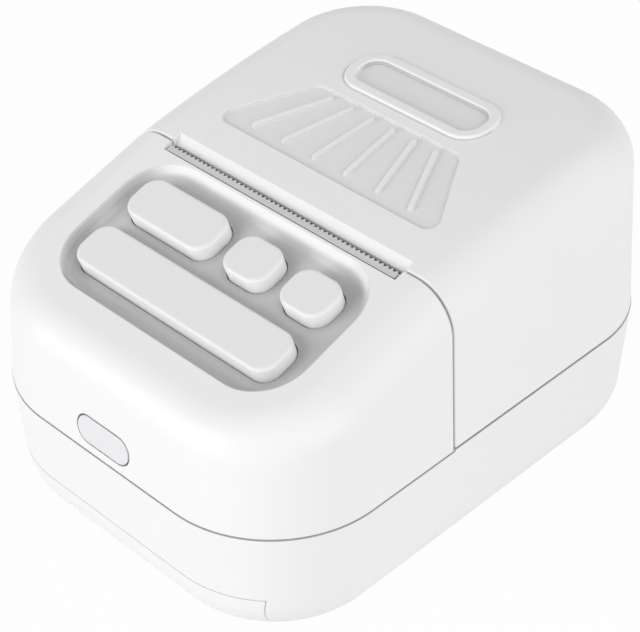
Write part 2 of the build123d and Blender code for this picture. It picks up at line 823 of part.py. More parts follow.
with BuildPart() as ring_bead:
    with BuildSketch(Plane.XY.offset(split_z)):
        with Locations((0, ring_y)):
            RectangleRounded(ring_length, ring_breadth, ring_corner)
            RectangleRounded(*ring_inside, mode=Mode.SUBTRACT)
    extrude(amount=split_z)
    add(raised_form, mode=Mode.INTERSECT)
    add(upper_inner, mode=Mode.SUBTRACT)
    fillet(ring_bead.faces().sort_by(Axis.Z)[-1].edges(), ring_edge_radius)

with BuildPart() as heel_trim:
    block((-case_width, case_width), (hinge_y, case_depth), (0, hinge_z))
    bar(hinge_y, hinge_z, heel_radius, (-case_width, case_width), Mode.SUBTRACT)

with BuildPart() as hood_hollow:
    add(upper_inner)
    for x, y in holder_bosses:
        post(x, y, holder_boss_radius, (holder_beam_z[1], high), Mode.SUBTRACT)
    for x in stiffeners:
        thick = stiffener_thick / 2
        block((x - thick, x + thick), stiffener_y, (roll_z, high), Mode.SUBTRACT)
    add(upper_form(wall + stiffener_depth, skirt=wall))

with BuildPart() as lid_cover:
    add(upper_outer)
    add(hood_hollow.part, mode=Mode.SUBTRACT)
    for x, y in holder_bosses:
        post(x, y, holder_boss_radius, (holder_beam_z[1], split_z))
    block((-case_width, case_width), (-case_depth, hood_edge_y), (0, high), Mode.SUBTRACT)
    block((-case_width, case_width), (-case_depth, case_depth), (0, seam_z + seam_gap), Mode.SUBTRACT)
    add(heel_trim.part, mode=Mode.SUBTRACT)
    # Paper lip: the front edge is set back and bevelled over the slot
    lip_y = hood_edge_y + lip_setback
    slot_x = (-slot_half - end_gap, slot_half + end_gap)
    block(slot_x, (hood_edge_y - wall, lip_y), (platen_z, high), Mode.SUBTRACT)
    lip_edges = [
        edge
        for edge in lid_cover.edges().filter_by(Axis.X)
        if abs(edge.center().Y - lip_y) < fit_gap and edge.center().Z > split_z - wall / 2
    ]
    chamfer(lip_edges, lip_chamfer)
    fillet([edge for edge in lid_cover.edges() if is_split_edge(edge, hood_edge_y)], edge_radius)
    add(fan_cut.part, mode=Mode.SUBTRACT)
    fan_edges = [edge for edge in lid_cover.edges(Select.LAST) if relief_floor.distance_to(edge @ 0.5) > fit_gap]
    fillet(fan_edges, fan_edge_radius)
    add(ring_cut.part, mode=Mode.SUBTRACT)
    add(ring_bead.part)
    for x, y in holder_bosses:
        post(x, y, screw_radius + fit_gap, (holder_beam_z[1], split_z - screw_radius), Mode.SUBTRACT)
    # Hinge ears beside the notch for the barrel
    block(
        (-barrel_half - knuckle_gap, barrel_half + knuckle_gap),
        (hinge_y - knuckle_radius - wall, case_depth),
        (0, hinge_z + knuckle_radius + knuckle_gap),
        Mode.SUBTRACT,
    )
    for x in both_sides((barrel_half + knuckle_gap, barrel_half + ear_length)):
        bar(hinge_y, hinge_z, knuckle_radius, x)
    bar(
        hinge_y,
        hinge_z,
        hinge_pin_radius + running_gap,
        (-barrel_half - 2 * ear_length, barrel_half + 2 * ear_length),
        Mode.SUBTRACT,
    )
save(lid_cover, "lid_cover")


# Platen holder: a beam under the hood with an arm at each end of the roller

arm_x = (arm_inner, arm_inner + arm_thick)
beam_half = arm_x[1]

with BuildPart() as platen_holder:
    block((-beam_half, beam_half), holder_beam_y, holder_beam_z)
    for x in both_sides(arm_x):
        block(x, (platen_y - arm_radius / 2, holder_beam_y[1]), (platen_z + arm_radius / 2, holder_beam_z[1]))
        bar(platen_y, platen_z, arm_radius, x)
        bar(platen_y, platen_z, bush_radius + fit_gap, x, Mode.SUBTRACT)
    for x, y in holder_bosses:
        post(x, y, screw_radius + running_gap, holder_beam_z, Mode.SUBTRACT)
save(platen_holder, "platen_holder")

with BuildPart() as holder_screws:
    for x, y in holder_bosses:
        post(x, y, screw_head_radius, (holder_beam_z[0] - small_head_height, holder_beam_z[0]))
        post(x, y, screw_radius, (holder_beam_z[0], holder_beam_z[1] + screw_head_height))
save(holder_screws, "holder_screws")

with BuildPart() as platen_bushes:
    for x in both_sides((arm_inner, plate_outer_x)):
        bar(platen_y, platen_z, bush_radius, x)
        bar(platen_y, platen_z, shaft_radius + running_gap, x, Mode.SUBTRACT)
save(platen_bushes, "platen_bushes")

gear_x = (plate_outer_x + gear_gap, plate_outer_x + gear_gap + gear_face)
with BuildPart() as platen_shaft:
    bar(platen_y, platen_z, shaft_radius, (-plate_outer_x - shaft_overrun, gear_x[1] + shaft_overrun))
save(platen_shaft, "platen_shaft")

with BuildPart() as platen_roller:
    bar(platen_y, platen_z, platen_radius, (-platen_half, platen_half))
    bar(platen_y, platen_z, shaft_radius + fit_gap, (-platen_half, platen_half), Mode.SUBTRACT)
save(platen_roller, "platen_roller")


# Gears


def toothed_wheel(teeth, centre, phase, bore, x):
    """Spur gear with a bore; the phase is the bearing of one tooth, from +Y towards +Z."""
    pitch_radius = gear_module * teeth / 2
    root = pitch_radius - tooth_root_depth * gear_module
    tip = pitch_radius + gear_module
    half_tooth = math.pi / (2 * teeth) - backlash / (2 * pitch_radius)
    flanks = [(root, -tooth_foot), (tip, -tooth_tip), (tip, tooth_tip), (root, tooth_foot)]
    outline = []
    for tooth in range(teeth):
        for radius, side in flanks:
            angle = math.radians(phase) + 2 * math.pi * tooth / teeth + side * half_tooth
            outline.append((centre[0] + radius * math.cos(angle), centre[1] + radius * math.sin(angle)))
    with BuildPart() as wheel:
        with BuildSketch(Plane.YZ.offset(x[0])):
            with BuildLine():
                Polyline(*outline, close=True)
            make_face()
            with Locations(centre):
                Circle(bore, mode=Mode.SUBTRACT)
        extrude(amount=x[1] - x[0])
    return wheel


def meshed(centre, phase, teeth, next_teeth, bearing):
    """Centre and phase of the wheel that meshes with another one at a bearing from it."""
    distance = gear_module * (teeth + next_teeth) / 2
    turn = math.radians(bearing)
    next_centre = (centre[0] + distance * math.cos(turn), centre[1] + distance * math.sin(turn))
    ahead = (phase - bearing) % (360 / teeth)
    next_phase = bearing + 180 - ahead * teeth / next_teeth + 180 / next_teeth
    return next_centre, next_phase


platen_centre = (platen_y, platen_z)
idler_centre, idler_phase = meshed(platen_centre, 0, platen_teeth, idler_teeth, idler_bearing)
pinion_centre, pinion_phase = meshed(idler_centre, idler_phase, idler_teeth, pinion_teeth, pinion_bearing)

platen_gear = toothed_wheel(platen_teeth, platen_centre, 0, shaft_radius + fit_gap, gear_x)
save(platen_gear, "platen_gear")
idler_gear = toothed_wheel(idler_teeth, idler_centre, idler_phase, stud_radius + running_gap, gear_x)
save(idler_gear, "idler_gear")
motor_pinion = toothed_wheel(pinion_teeth, pinion_centre, pinion_phase, motor_shaft_radius + fit_gap, gear_x)
save(motor_pinion, "motor_pinion")

with BuildPart() as idler_stud:
    bar(*idler_centre, stud_radius, (side_plate_x, gear_x[1] + shaft_overrun))
save(idler_stud, "idler_stud")

motor_x = (side_plate_x - motor_length, side_plate_x)
with BuildPart() as stepper_motor:
    bar(*pinion_centre, motor_radius, motor_x)
    bar(*pinion_centre, motor_boss_radius, (motor_x[1], motor_x[1] + motor_boss_length))
    bar(
        *pinion_centre,
        motor_shaft_radius + running_gap,
        (motor_x[1] - motor_shaft_sunk, motor_x[1] + motor_boss_length),
        Mode.SUBTRACT,
    )
save(stepper_motor, "stepper_motor")

motor_shaft_x = (motor_x[1] - motor_shaft_sunk + motor_end_gap, gear_x[1] + shaft_overrun)
with BuildPart() as motor_shaft:
    bar(*pinion_centre, motor_shaft_radius, motor_shaft_x)
save(motor_shaft, "motor_shaft")


# Mechanism frame: two side plates, a cross wall and feet, open above for the bushes of the roller

hinge_reach = math.hypot(hinge_y - platen_y, platen_z - hinge_z)
exit_way = ((platen_z - hinge_z) / hinge_reach, (hinge_y - platen_y) / hinge_reach)
exit_length = 3 * arm_radius

with BuildPart() as mechanism_frame:
    for x in both_sides((side_plate_x, plate_outer_x)):
        with BuildSketch(Plane.YZ.offset(x[0])):
            with BuildLine():
                Polyline(
                    (frame_front_y, frame_foot_z),
                    (frame_back_y, frame_foot_z),
                    (frame_back_y, frame_top_z - 3 * wall),
                    (platen_y + arm_radius, frame_top_z),
                    (platen_y - platen_radius - 2 * wall, frame_top_z),
                    (platen_y - 2 * platen_radius, cross_wall_z[1] + 2 * wall),
                    (frame_front_y, cross_wall_z[1]),
                    close=True,
                )
            make_face()
            with BuildSketch(mode=Mode.PRIVATE) as notch:
                with Locations(platen_centre):
                    Circle(bush_radius + bush_gap)
                with Locations((platen_y + exit_length * exit_way[0], platen_z + exit_length * exit_way[1])):
                    Circle(bush_radius + 3 * bush_gap)
                make_hull()
            add(notch.sketch, mode=Mode.SUBTRACT)
            with Locations(idler_centre):
                Circle(stud_radius + fit_gap, mode=Mode.SUBTRACT)
            with Locations(pinion_centre):
                Circle(motor_boss_radius + fit_gap, mode=Mode.SUBTRACT)
        extrude(amount=sheet)
    block((-side_plate_x, side_plate_x), (frame_front_y, frame_front_y + sheet), cross_wall_z)
    for x in both_sides((side_plate_x, plate_outer_x + tab_reach)):
        block(x, (tab_y - tab_length / 2, tab_y + tab_length / 2), (frame_foot_z, frame_foot_z + sheet))
    for x in (-tab_screw_x, tab_screw_x):
        post(x, tab_y, screw_radius + running_gap, (0, high), Mode.SUBTRACT)
save(mechanism_frame, "mechanism_frame")

tab_top = frame_foot_z + sheet
with BuildPart() as frame_screws:
    for x in (-tab_screw_x, tab_screw_x):
        post(x, tab_y, screw_head_radius, (tab_top, tab_top + screw_head_height))
        post(x, tab_y, screw_radius, (tab_top - case_screw_grip, tab_top))
save(frame_screws, "frame_screws")


# Print head on its heat sink, pushed at the roller by two springs

head_face_y = platen_y - platen_radius - head_gap
head_back_y = head_face_y - head_thick
sink_back_y = head_back_y - heatsink_thick

with BuildPart() as print_head:
    block((-head_half, head_half), (head_back_y, head_face_y), (head_foot_z, head_top_z))
save(print_head, "print_head")

sink_y = (sink_back_y, head_back_y)
with BuildPart() as heat_sink:
    block((-head_half, head_half), sink_y, (heatsink_foot_z, head_top_z))
    block((-heatsink_ear_half, heatsink_ear_half), sink_y, (heatsink_foot_z, head_foot_z - wall))
save(heat_sink, "heat_sink")

spring_start_y = frame_front_y + sheet
spring_length = sink_back_y - spring_start_y - 2 * (spring_wire + fit_gap)
with BuildPart() as head_springs:
    for x in (-spring_x, spring_x):
        with BuildLine():
            coil = Helix(
                spring_length / spring_turns,
                spring_length,
                spring_radius,
                center=(x, spring_start_y + spring_wire + fit_gap, spring_z),
                direction=(0, 1, 0),
            )
        with BuildSketch(Plane(origin=coil @ 0, z_dir=coil % 0)):
            RegularPolygon(spring_wire, 6)
        sweep(path=coil, is_frenet=True)
save(head_springs, "head_springs")


# Paper tub: a round-bottomed trough with closed ends, on two saddles of the base

with BuildPart() as paper_tub:
    with BuildSketch(Plane.YZ.offset(-tub_half - tub_wall)):
        with Locations((roll_y, roll_z)):
            Circle(tub_outer_radius)
        with Locations((roll_y, (roll_z + tub_top_z) / 2)):
            Rectangle(2 * tub_outer_radius, tub_top_z - roll_z)
        with Locations((roll_y, tub_top_z + tub_outer_radius / 2)):
            Rectangle(2 * tub_outer_radius, tub_outer_radius, mode=Mode.SUBTRACT)
    extrude(amount=2 * (tub_half + tub_wall))
    with BuildSketch(Plane.YZ.offset(-tub_half)):
        with Locations((roll_y, roll_z)):
            Circle(roll_clear_radius)
        with Locations((roll_y, roll_z + tub_outer_radius / 2)):
            Rectangle(2 * roll_clear_radius, tub_outer_radius)
    extrude(amount=2 * tub_half, mode=Mode.SUBTRACT)
save(paper_tub, "paper_tub")


# Electrics in the base

with BuildPart() as battery_pack:
    with Locations((0, battery_y, floor_z + battery_size[2] / 2)):
        Box(*battery_size)
    fillet(battery_pack.edges().filter_by(Axis.X), battery_edge)
save(battery_pack, "battery_pack")

board_top = board_z + circuit_board
with BuildPart() as main_board:
    with BuildSketch(Plane.XY.offset(board_z)):
        with Locations((0, board_y)):
            Rectangle(*board_size)
        with Locations(((board_left + usb_tongue_end) / 2, usb_y)):
            Rectangle(board_left - usb_tongue_end, usb_tongue_width)
        with Locations(*board_posts):
            Circle(small_screw_radius + fit_gap, mode=Mode.SUBTRACT)
    extrude(amount=circuit_board)
save(main_board, "main_board")

board_screws = small_screws(Plane.XY.offset(board_top), board_posts, circuit_board + case_screw_grip)
save(board_screws, "board_screws")

with BuildPart() as usb_socket:
    with BuildSketch(Plane.YZ.offset(usb_mouth_x)):
        with Locations((usb_y, usb_z)):
            SlotOverall(usb_size[1], usb_size[2])
    extrude(amount=usb_size[0])
    with BuildSketch(Plane.YZ.offset(usb_mouth_x)):
        with Locations((usb_y, usb_z)):
            SlotOverall(usb_size[1] - 2 * usb_gap, usb_size[2] - 2 * usb_gap)
            Rectangle(usb_size[1] - usb_size[2], usb_gap * 2, mode=Mode.SUBTRACT)
    extrude(amount=usb_size[0] - 2 * usb_gap, mode=Mode.SUBTRACT)
save(usb_socket, "usb_socket")

ribbon_y = (sink_back_y + head_back_y) / 2

with BuildPart() as board_components:
    for (x, y), (length, breadth, height) in board_chips:
        with Locations((x, y, board_top + height / 2)):
            Box(length, breadth, height)
    for x, y in board_capacitors:
        post(x, y, capacitor_radius, (board_top, board_top + capacitor_height))
    with Locations((0, ribbon_y, board_top + ribbon_socket[2] / 2)):
        Box(*ribbon_socket)
save(board_components, "board_components")

ribbon_top = heatsink_foot_z
ribbon_foot = board_top + ribbon_socket[2]
with BuildPart() as head_ribbon:
    with BuildSketch(Plane.YZ.offset(-ribbon_half)):
        with BuildLine():
            FilletPolyline(
                (ribbon_y, ribbon_top),
                (ribbon_y, ribbon_top - ribbon_bend),
                (ribbon_y - ribbon_slack, (ribbon_top + ribbon_foot) / 2),
                (ribbon_y, ribbon_foot + ribbon_bend),
                (ribbon_y, ribbon_foot),
                radius=ribbon_bend,
            )
        trace(line_width=ribbon_thick)
    extrude(amount=2 * ribbon_half)
save(head_ribbon, "head_ribbon")


# Screws of the case and of the bottom cover

with BuildPart() as case_screws_part:
    for x, y in case_screws:
        post(x, y, screw_head_radius, (case_screw_seat_z - screw_head_height, case_screw_seat_z))
        post(x, y, screw_radius, (case_screw_seat_z, housing_boss_z[1] - screw_head_height))
save(case_screws_part, "case_screws")

with BuildPart() as cover_screws_part:
    for x, y in cover_screws:
        with Locations((x, y, foot_height + cover_thick / 2)):
            Cone(screw_head_radius, screw_radius, cover_thick)
        post(x, y, screw_radius, (cover_seat_z, floor_z + tray_height - screw_radius))
save(cover_screws_part, "cover_screws")
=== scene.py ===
# %% [markdown]
# A portable receipt printer, dressed around its packed construction model.
# The frame holds every rigid piece at its real size and place, so this script adds what a
# construction model leaves out: finishes, small repeated parts, light and a camera.

# %% Load the frame
import json
import math

import bmesh
import bpy
import numpy as np
from mathutils import Matrix, Vector


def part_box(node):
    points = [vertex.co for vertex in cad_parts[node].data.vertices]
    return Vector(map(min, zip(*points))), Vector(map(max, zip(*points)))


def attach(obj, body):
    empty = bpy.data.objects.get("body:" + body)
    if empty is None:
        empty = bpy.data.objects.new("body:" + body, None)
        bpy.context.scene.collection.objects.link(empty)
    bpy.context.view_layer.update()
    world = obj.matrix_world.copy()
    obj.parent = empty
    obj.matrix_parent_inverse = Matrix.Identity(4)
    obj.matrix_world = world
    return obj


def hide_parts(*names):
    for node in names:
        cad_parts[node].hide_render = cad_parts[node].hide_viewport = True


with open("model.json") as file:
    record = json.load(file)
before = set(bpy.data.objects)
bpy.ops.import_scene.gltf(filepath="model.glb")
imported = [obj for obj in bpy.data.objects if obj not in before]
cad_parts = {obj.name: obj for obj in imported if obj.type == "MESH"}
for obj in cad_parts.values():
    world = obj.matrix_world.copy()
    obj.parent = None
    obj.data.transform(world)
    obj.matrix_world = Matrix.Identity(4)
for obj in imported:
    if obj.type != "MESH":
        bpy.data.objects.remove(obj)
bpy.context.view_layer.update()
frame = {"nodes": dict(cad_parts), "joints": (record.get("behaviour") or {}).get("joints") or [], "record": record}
NODES = frame["nodes"]
MM = 0.001

# %% [markdown]
# The camera comes first, because every later choice is judged through it. It could be placed by
# eye, but a fit is surer: it was found by matching the seam line and the corners of the moulded
# fan with the photograph. It is a long lens above the front right corner, with a slight roll.

# %% Camera
CAMERA_AZIMUTH = 45.41
CAMERA_ELEVATION = 37.92
CAMERA_ROLL = -1.06
CAMERA_DISTANCE = 379.5 * MM
CAMERA_TARGET = Vector((-0.76, -0.70, 30.06)) * MM
CAMERA_LENS = 112.2
CAMERA_CLIP_START = 10 * MM


def direction(azimuth, elevation):
    """Unit vector from the object towards a place that far round it and that far up, in degrees."""
    turn, rise = math.radians(azimuth), math.radians(elevation)
    return Vector((math.sin(turn) * math.cos(rise), -math.cos(turn) * math.cos(rise), math.sin(rise)))


camera = bpy.data.objects.new("camera", bpy.data.cameras.new("camera"))
bpy.context.scene.collection.objects.link(camera)
camera.data.lens = CAMERA_LENS
camera.data.clip_start = CAMERA_CLIP_START
away = direction(CAMERA_AZIMUTH, CAMERA_ELEVATION)
camera.location = CAMERA_TARGET + CAMERA_DISTANCE * away
level = (-away).to_track_quat("-Z", "Y").to_matrix().to_4x4()
roll = Matrix.Rotation(math.radians(CAMERA_ROLL), 4, "Z")
camera.matrix_world = Matrix.Translation(camera.location) @ level @ roll
bpy.context.scene.camera = camera
print("camera at", [round(v / MM, 1) for v in camera.location], "mm")

# %% [markdown]
# Nodes could be placed by hand, one by one, but in a script node maths reads best as plain
# expressions. A small class wraps one output socket, and the operators on it add Math nodes, so
# `1 - mask` or `grain * 0.5` build the graph by themselves. What comes back often, such as a soft
# ramp, is a method of its own.

# %% Sockets with arithmetic


class Value:
    """One output socket of a node tree, with arithmetic."""

    def __init__(self, graph, socket):
        self.graph = graph
        self.socket = socket

    def maths(self, operation, *values):
        return self.graph.node("ShaderNodeMath", {"operation": operation}, *values)

    def __add__(self, other):
        return self.maths("ADD", self, other)

    __radd__ = __add__

    def __sub__(self, other):
        return self.maths("SUBTRACT", self, other)

    def __rsub__(self, other):
        return self.maths("SUBTRACT", other, self)

    def __mul__(self, other):
        return self.maths("MULTIPLY", self, other)

    __rmul__ = __mul__

    def __abs__(self):
        return self.maths("ABSOLUTE", self)

    def root(self):
        return self.maths("SQRT", self)

    def at_least(self, other):
        return self.maths("MAXIMUM", self, other)

    def at_most(self, other):
        return self.maths("MINIMUM", self, other)

    def to_and_fro(self, length):
        """The value folded like a ruler, so that it runs up and down between 0 and a length."""
        return self.maths("PINGPONG", self, length)

    def ramp(self, low, high):
        """0 at the low value and 1 at the high one, with soft ends."""
        soft = {"interpolation_type": "SMOOTHSTEP"}
        return self.graph.node("ShaderNodeMapRange", soft, self, low, high, 0.0, 1.0)

    def band(self, rise, fall):
        """1 between two ramps: it rises over the first pair of values and falls over the second."""
        return self.ramp(*rise) * (1.0 - self.ramp(*fall))

    def about(self, middle, width):
        """A noise between 0 and 1, moved so that it varies about a middle, within a width."""
        return middle + (self - 0.5) * width


# %% [markdown]
# Adding a node, its settings and its links takes a line for each, which would make a long script.
# So every other node comes from one method that takes a type, its settings and its inputs. Both
# kinds of tree in this script, materials and Geometry Nodes, are built with it.

# %% Node helper


class Tree:
    """A node tree, to which one method adds every kind of node."""

    def __init__(self, tree):
        self.tree = tree

    def node(self, kind, settings=None, *values, output=0, **named):
        """Add a node: settings first, then its inputs by place or by name. Returns one output."""
        made = self.tree.nodes.new(kind)
        for key, setting in (settings or {}).items():
            setattr(made, key, setting)
        places = [(made.inputs[index], value) for index, value in enumerate(values) if value is not None]
        names = [(made.inputs[key.replace("_", " ")], value) for key, value in named.items()]
        for socket, value in places + names:
            if isinstance(value, Value):
                self.tree.links.new(value.socket, socket)
            else:
                socket.default_value = value
        return Value(self, made.outputs[output])


# %% [markdown]
# A material is such a tree with a few recipes of its own. Patterns could follow an unwrapped map,
# but the pieces of the frame have none. So they read the position on the object, and they stay
# put when a piece moves and when the model is used elsewhere. A Mix node has five sockets for other
# kinds of data between its factor and its two colours, so those are skipped.

# %% Material helper
SOCKETS_BEFORE_COLOURS = (None,) * 5
COLOUR_RESULT = 2


class Graph(Tree):
    """The node tree of one material."""

    def __init__(self, name):
        self.material = bpy.data.materials.new(name)
        self.material.use_nodes = True
        super().__init__(self.material.node_tree)
        self.tree.nodes.clear()
        self.output = self.tree.nodes.new("ShaderNodeOutputMaterial")

    def place(self):
        """Position on the object in metres, the same at every pose."""
        return self.node("ShaderNodeTexCoord", output="Object")

    def split(self):
        """The same position as three separate values."""
        parts = self.node("ShaderNodeSeparateXYZ", None, self.place())
        return [Value(self, socket) for socket in parts.socket.node.outputs]

    def noise(self, scale, detail=2.0, roughness=0.5, where=None):
        """Noise between 0 and 1, with its scale in features per metre."""
        place = where or self.place()
        return self.node(
            "ShaderNodeTexNoise", None, Vector=place, Scale=scale, Detail=detail, Roughness=roughness
        )

    def cells(self, scale, metric="EUCLIDEAN"):
        """A number between 0 and 1 for each cell of a Voronoi texture, with so many cells a metre."""
        colour = self.node(
            "ShaderNodeTexVoronoi", {"distance": metric}, Vector=self.place(), Scale=scale, output="Color"
        )
        return self.node("ShaderNodeSeparateColor", None, colour)

    def mix(self, mask, first, second):
        """Colour that goes from the first to the second as the mask goes from 0 to 1."""
        inputs = (mask, *SOCKETS_BEFORE_COLOURS, first, second)
        return self.node("ShaderNodeMix", {"data_type": "RGBA"}, *inputs, output=COLOUR_RESULT)

    def bump(self, height, strength, depth):
        """Direction of a surface that the height raises, at most by that depth."""
        return self.node("ShaderNodeBump", None, Strength=strength, Distance=depth, Height=height)

    def close(self, surface):
        """Give the surface to the material and return it."""
        self.tree.links.new(surface.socket, self.output.inputs[0])
        return self.material

    def finish(self, **sockets):
        """Close the graph with a Principled shader."""
        return self.close(self.node("ShaderNodeBsdfPrincipled", None, **sockets))


# %% [markdown]
# The case is white plastic moulded in a spark-eroded tool, so it has a very fine, even grain and
# a satin sheen. A scanned texture could show it, but two noises do it at any size: a fine one for
# the grain and a slow one that shifts the tone a little, as thick and thin walls do. The grain is
# a bump about a hundredth of a millimetre deep, because real dents that small would need millions
# of faces.

# %% Case plastic
GRAIN_SCALE = 3200.0
GRAIN_BUMP = 0.012 * MM
TONE_SCALE = 24.0
CASE_COLOUR = (0.90, 0.90, 0.90)


def opaque(colour, share=1.0):
    """A colour of three channels, scaled and made a colour of four."""
    return tuple(channel * share for channel in colour) + (1.0,)


def moulded_plastic(name, colour, shade=0.97, roughness=0.42, grain=0.25, paint=None):
    """Moulded plastic with an eroded grain and a slow change of tone, and paint over it if it is given."""
    graph = Graph(name)
    fine = graph.noise(GRAIN_SCALE, detail=3.0, roughness=0.6)
    tone = graph.mix(graph.noise(TONE_SCALE), opaque(colour, shade), opaque(colour))
    return graph.finish(
        Base_Color=paint(graph, tone) if paint else tone,
        Roughness=fine.about(roughness, width=0.12),
        Normal=graph.bump(fine, strength=grain, depth=GRAIN_BUMP),
    )


dark_plastic = moulded_plastic("dark_plastic", (0.045, 0.045, 0.05), shade=0.8, roughness=0.48)
gear_nylon = moulded_plastic("gear_nylon", (0.82, 0.81, 0.76), roughness=0.45, grain=0.1)
print("case colour", CASE_COLOUR)

# %% [markdown]
# The floor of the keypad tray is painted grey as shade, darkest in the painted shadow close behind the keys. A
# second material on chosen faces could do it, but only with a hard edge. So the shader works out where a point
# lies on the sloping panel: across it, down it from the split line, and how deep under it. The direction square to
# the panel is the axis of a key's joint.

# %% Where a point lies on the panel
SPLIT_Y = -10.0 * MM
SPLIT_Z = 61.6 * MM
PANEL_START = np.array((0.0, SPLIT_Y, SPLIT_Z))
AXES = {joint["name"]: np.array(joint["axis"]) for joint in frame["joints"]}
INTO_PANEL = AXES["long_key_press"]
DOWN_PANEL = np.array((0.0, -abs(INTO_PANEL[2]), -abs(INTO_PANEL[1])))
PANEL_SLOPE = math.asin(abs(INTO_PANEL[1]))


def on_panel(points):
    """Across, down and depth of points on the panel, in metres, one row a point."""
    away = np.asarray(points) - PANEL_START
    return np.stack([away[:, 0], away @ DOWN_PANEL, away @ INTO_PANEL], axis=1)


def along(axis, y, z):
    """How far a point lies along an axis that has no part across, as a shader value."""
    return y * float(axis[1]) + z * float(axis[2])


def shader_on_panel(graph):
    """Across, down and depth on the panel as shader values."""
    x, y, z = graph.split()
    y, z = y - SPLIT_Y, z - SPLIT_Z
    return x, along(DOWN_PANEL, y, z), along(INTO_PANEL, y, z)


print("panel slope", round(math.degrees(PANEL_SLOPE), 2), "degrees")

# %% [markdown]
# The painted shade of the tray is darker the nearer a key is, so the shader also needs the distance from each key.
# The caps are rounded rectangles, for which one short formula does: take the corner's radius off the half size,
# measure how far the point is outside the rest, and take the radius off again. The places and sizes of the caps
# are measured on the frame, so they can't drift from it.

# %% Distance from a rounded outline
KEYS = ("long_key", "medium_key", "small_key_left", "small_key_right")


def rounded_distance(across, down, middle, half, corner):
    """How far a point lies outside a rounded rectangle, and less than 0 in the band inside its edge."""
    side = (abs(across - float(middle[0])) - float(half[0] - corner)).at_least(0.0)
    ahead = (abs(down - float(middle[1])) - float(half[1] - corner)).at_least(0.0)
    return (side * side + ahead * ahead).root() - corner


def vertices(name):
    """Corner points of a carried-over node, one row a point."""
    mesh = NODES[name].data
    points = np.empty(len(mesh.vertices) * 3)
    mesh.vertices.foreach_get("co", points)
    return points.reshape(-1, 3)


def key_outline(name):
    """Middle and half size of a key's cap on the panel, from what stands above the panel."""
    cap = on_panel(vertices(name))
    cap = cap[cap[:, 2] < 0.0][:, :2]
    return (cap.min(axis=0) + cap.max(axis=0)) / 2, (cap.max(axis=0) - cap.min(axis=0)) / 2


for name in KEYS:
    middle, half = key_outline(name)
    print(name, "middle", np.round(middle / MM, 2), "half size", np.round(half / MM, 2), "mm")

# %% [markdown]
# The tray is a rounded dish round the keys. In the photograph its back wall goes from white to grey on the way
# down, the floor is grey, and the front wall has the grey that lies close to the keys. These greys are shade, and
# here they are painted. An image could hold these painted shades, but ramps over rows, over depth and over the
# distance from the keys need none, and stay sharp close up. The rounded outline of the tray bounds them all.

# %% Painted shade of the keypad tray
KEY_CORNER = 3.4 * MM
SHADE_SHIFT = 0.8 * MM
SHADE_REACH = 2.6 * MM
# Painted shade: the grey of the tray floor, in the open and close behind the keys.
TRAY_OPEN_SHADE = (0.63, 0.63, 0.64)
TRAY_CLOSE_SHADE = (0.455, 0.455, 0.465)
TRAY_MIDDLE = (0.0, 19.1 * MM)
TRAY_HALF = (29.6 * MM, 16.1 * MM)
TRAY_CORNER = 10.3 * MM
BACK_WALL_ROWS = (4.5 * MM, 9.0 * MM)
BACK_WALL_DEPTH = (0.8 * MM, 2.0 * MM)
FRONT_WALL_ROWS = (33.2 * MM, 34.6 * MM)
UNDERSIDE_DEPTH = (3.0 * MM, 3.3 * MM)
EDGE = 0.1 * MM


def near_keys(across, down):
    """Distance from the nearest key, each of them moved up the panel by the shift of the shade."""
    nearest = None
    for name in KEYS:
        middle, half = key_outline(name)
        shifted = (middle[0], middle[1] - SHADE_SHIFT)
        distance = rounded_distance(across, down, shifted, half, KEY_CORNER)
        nearest = distance if nearest is None else nearest.at_most(distance)
    return nearest


def paint_tray_shade(graph, tone):
    """The tone of the housing, and painted shade where the point lies in the tray."""
    across, down, deep = shader_on_panel(graph)
    openness = near_keys(across, down).ramp(0.0, SHADE_REACH) * (1.0 - down.ramp(*FRONT_WALL_ROWS))
    # Painted shade: grey on the tray's floor and walls, darkest close behind the keys.
    grey = graph.mix(openness, opaque(TRAY_CLOSE_SHADE), opaque(TRAY_OPEN_SHADE))
    past_wall = down.ramp(*BACK_WALL_ROWS)
    under_wall = deep.ramp(*BACK_WALL_DEPTH) * (1.0 - past_wall)
    inside = rounded_distance(across, down, TRAY_MIDDLE, TRAY_HALF, TRAY_CORNER).ramp(EDGE, -EDGE)
    outer_face = 1.0 - deep.ramp(*UNDERSIDE_DEPTH)
    return graph.mix((past_wall + under_wall) * inside * outer_face, tone, grey)


print("tray", [round(2 * value / MM, 1) for value in TRAY_HALF], "mm, soft edge", EDGE / MM, "mm")

# %% [markdown]
# The keys are white caps, and light from the front makes their walls look lighter than their flat tops, so the
# walls below the shoulder get painted light. The power button is a grey cap, and the shade in the gap round it
# shows as a darker ring, so its flanks get painted shade. Separate pieces for tops and walls would leave a visible
# joint, so depth decides here too: behind the shoulder of a key or the face of the button, the painted tone
# changes.

# %% Keys with painted light and power button with painted shade
KEY_COLOUR = (0.86, 0.86, 0.865)
# Painted light: the lighter tone of the key walls, lit from the front.
KEY_WALL_PAINTED_LIGHT = (0.99, 0.99, 0.99)
KEY_SHOULDER = (-0.4 * MM, 0.0)
BUTTON_COLOUR = (0.80, 0.797, 0.82)
BUTTON_FLANK = (0.15 * MM, 0.35 * MM)
# Painted shade: the darker ring on the button's flanks in the gap round it.
FLANK_SHADE = (0.40, 0.40, 0.41)
INTO_WALL = AXES["power_press"]
BUTTON_FACE = float((vertices("power_button") @ INTO_WALL).min())


def paint_key_light(graph, tone):
    """The tone of a key's top, and painted light on its walls below the shoulder."""
    _, _, deep = shader_on_panel(graph)
    # Painted light on the key walls.
    return graph.mix(deep.ramp(*KEY_SHOULDER), tone, opaque(KEY_WALL_PAINTED_LIGHT))


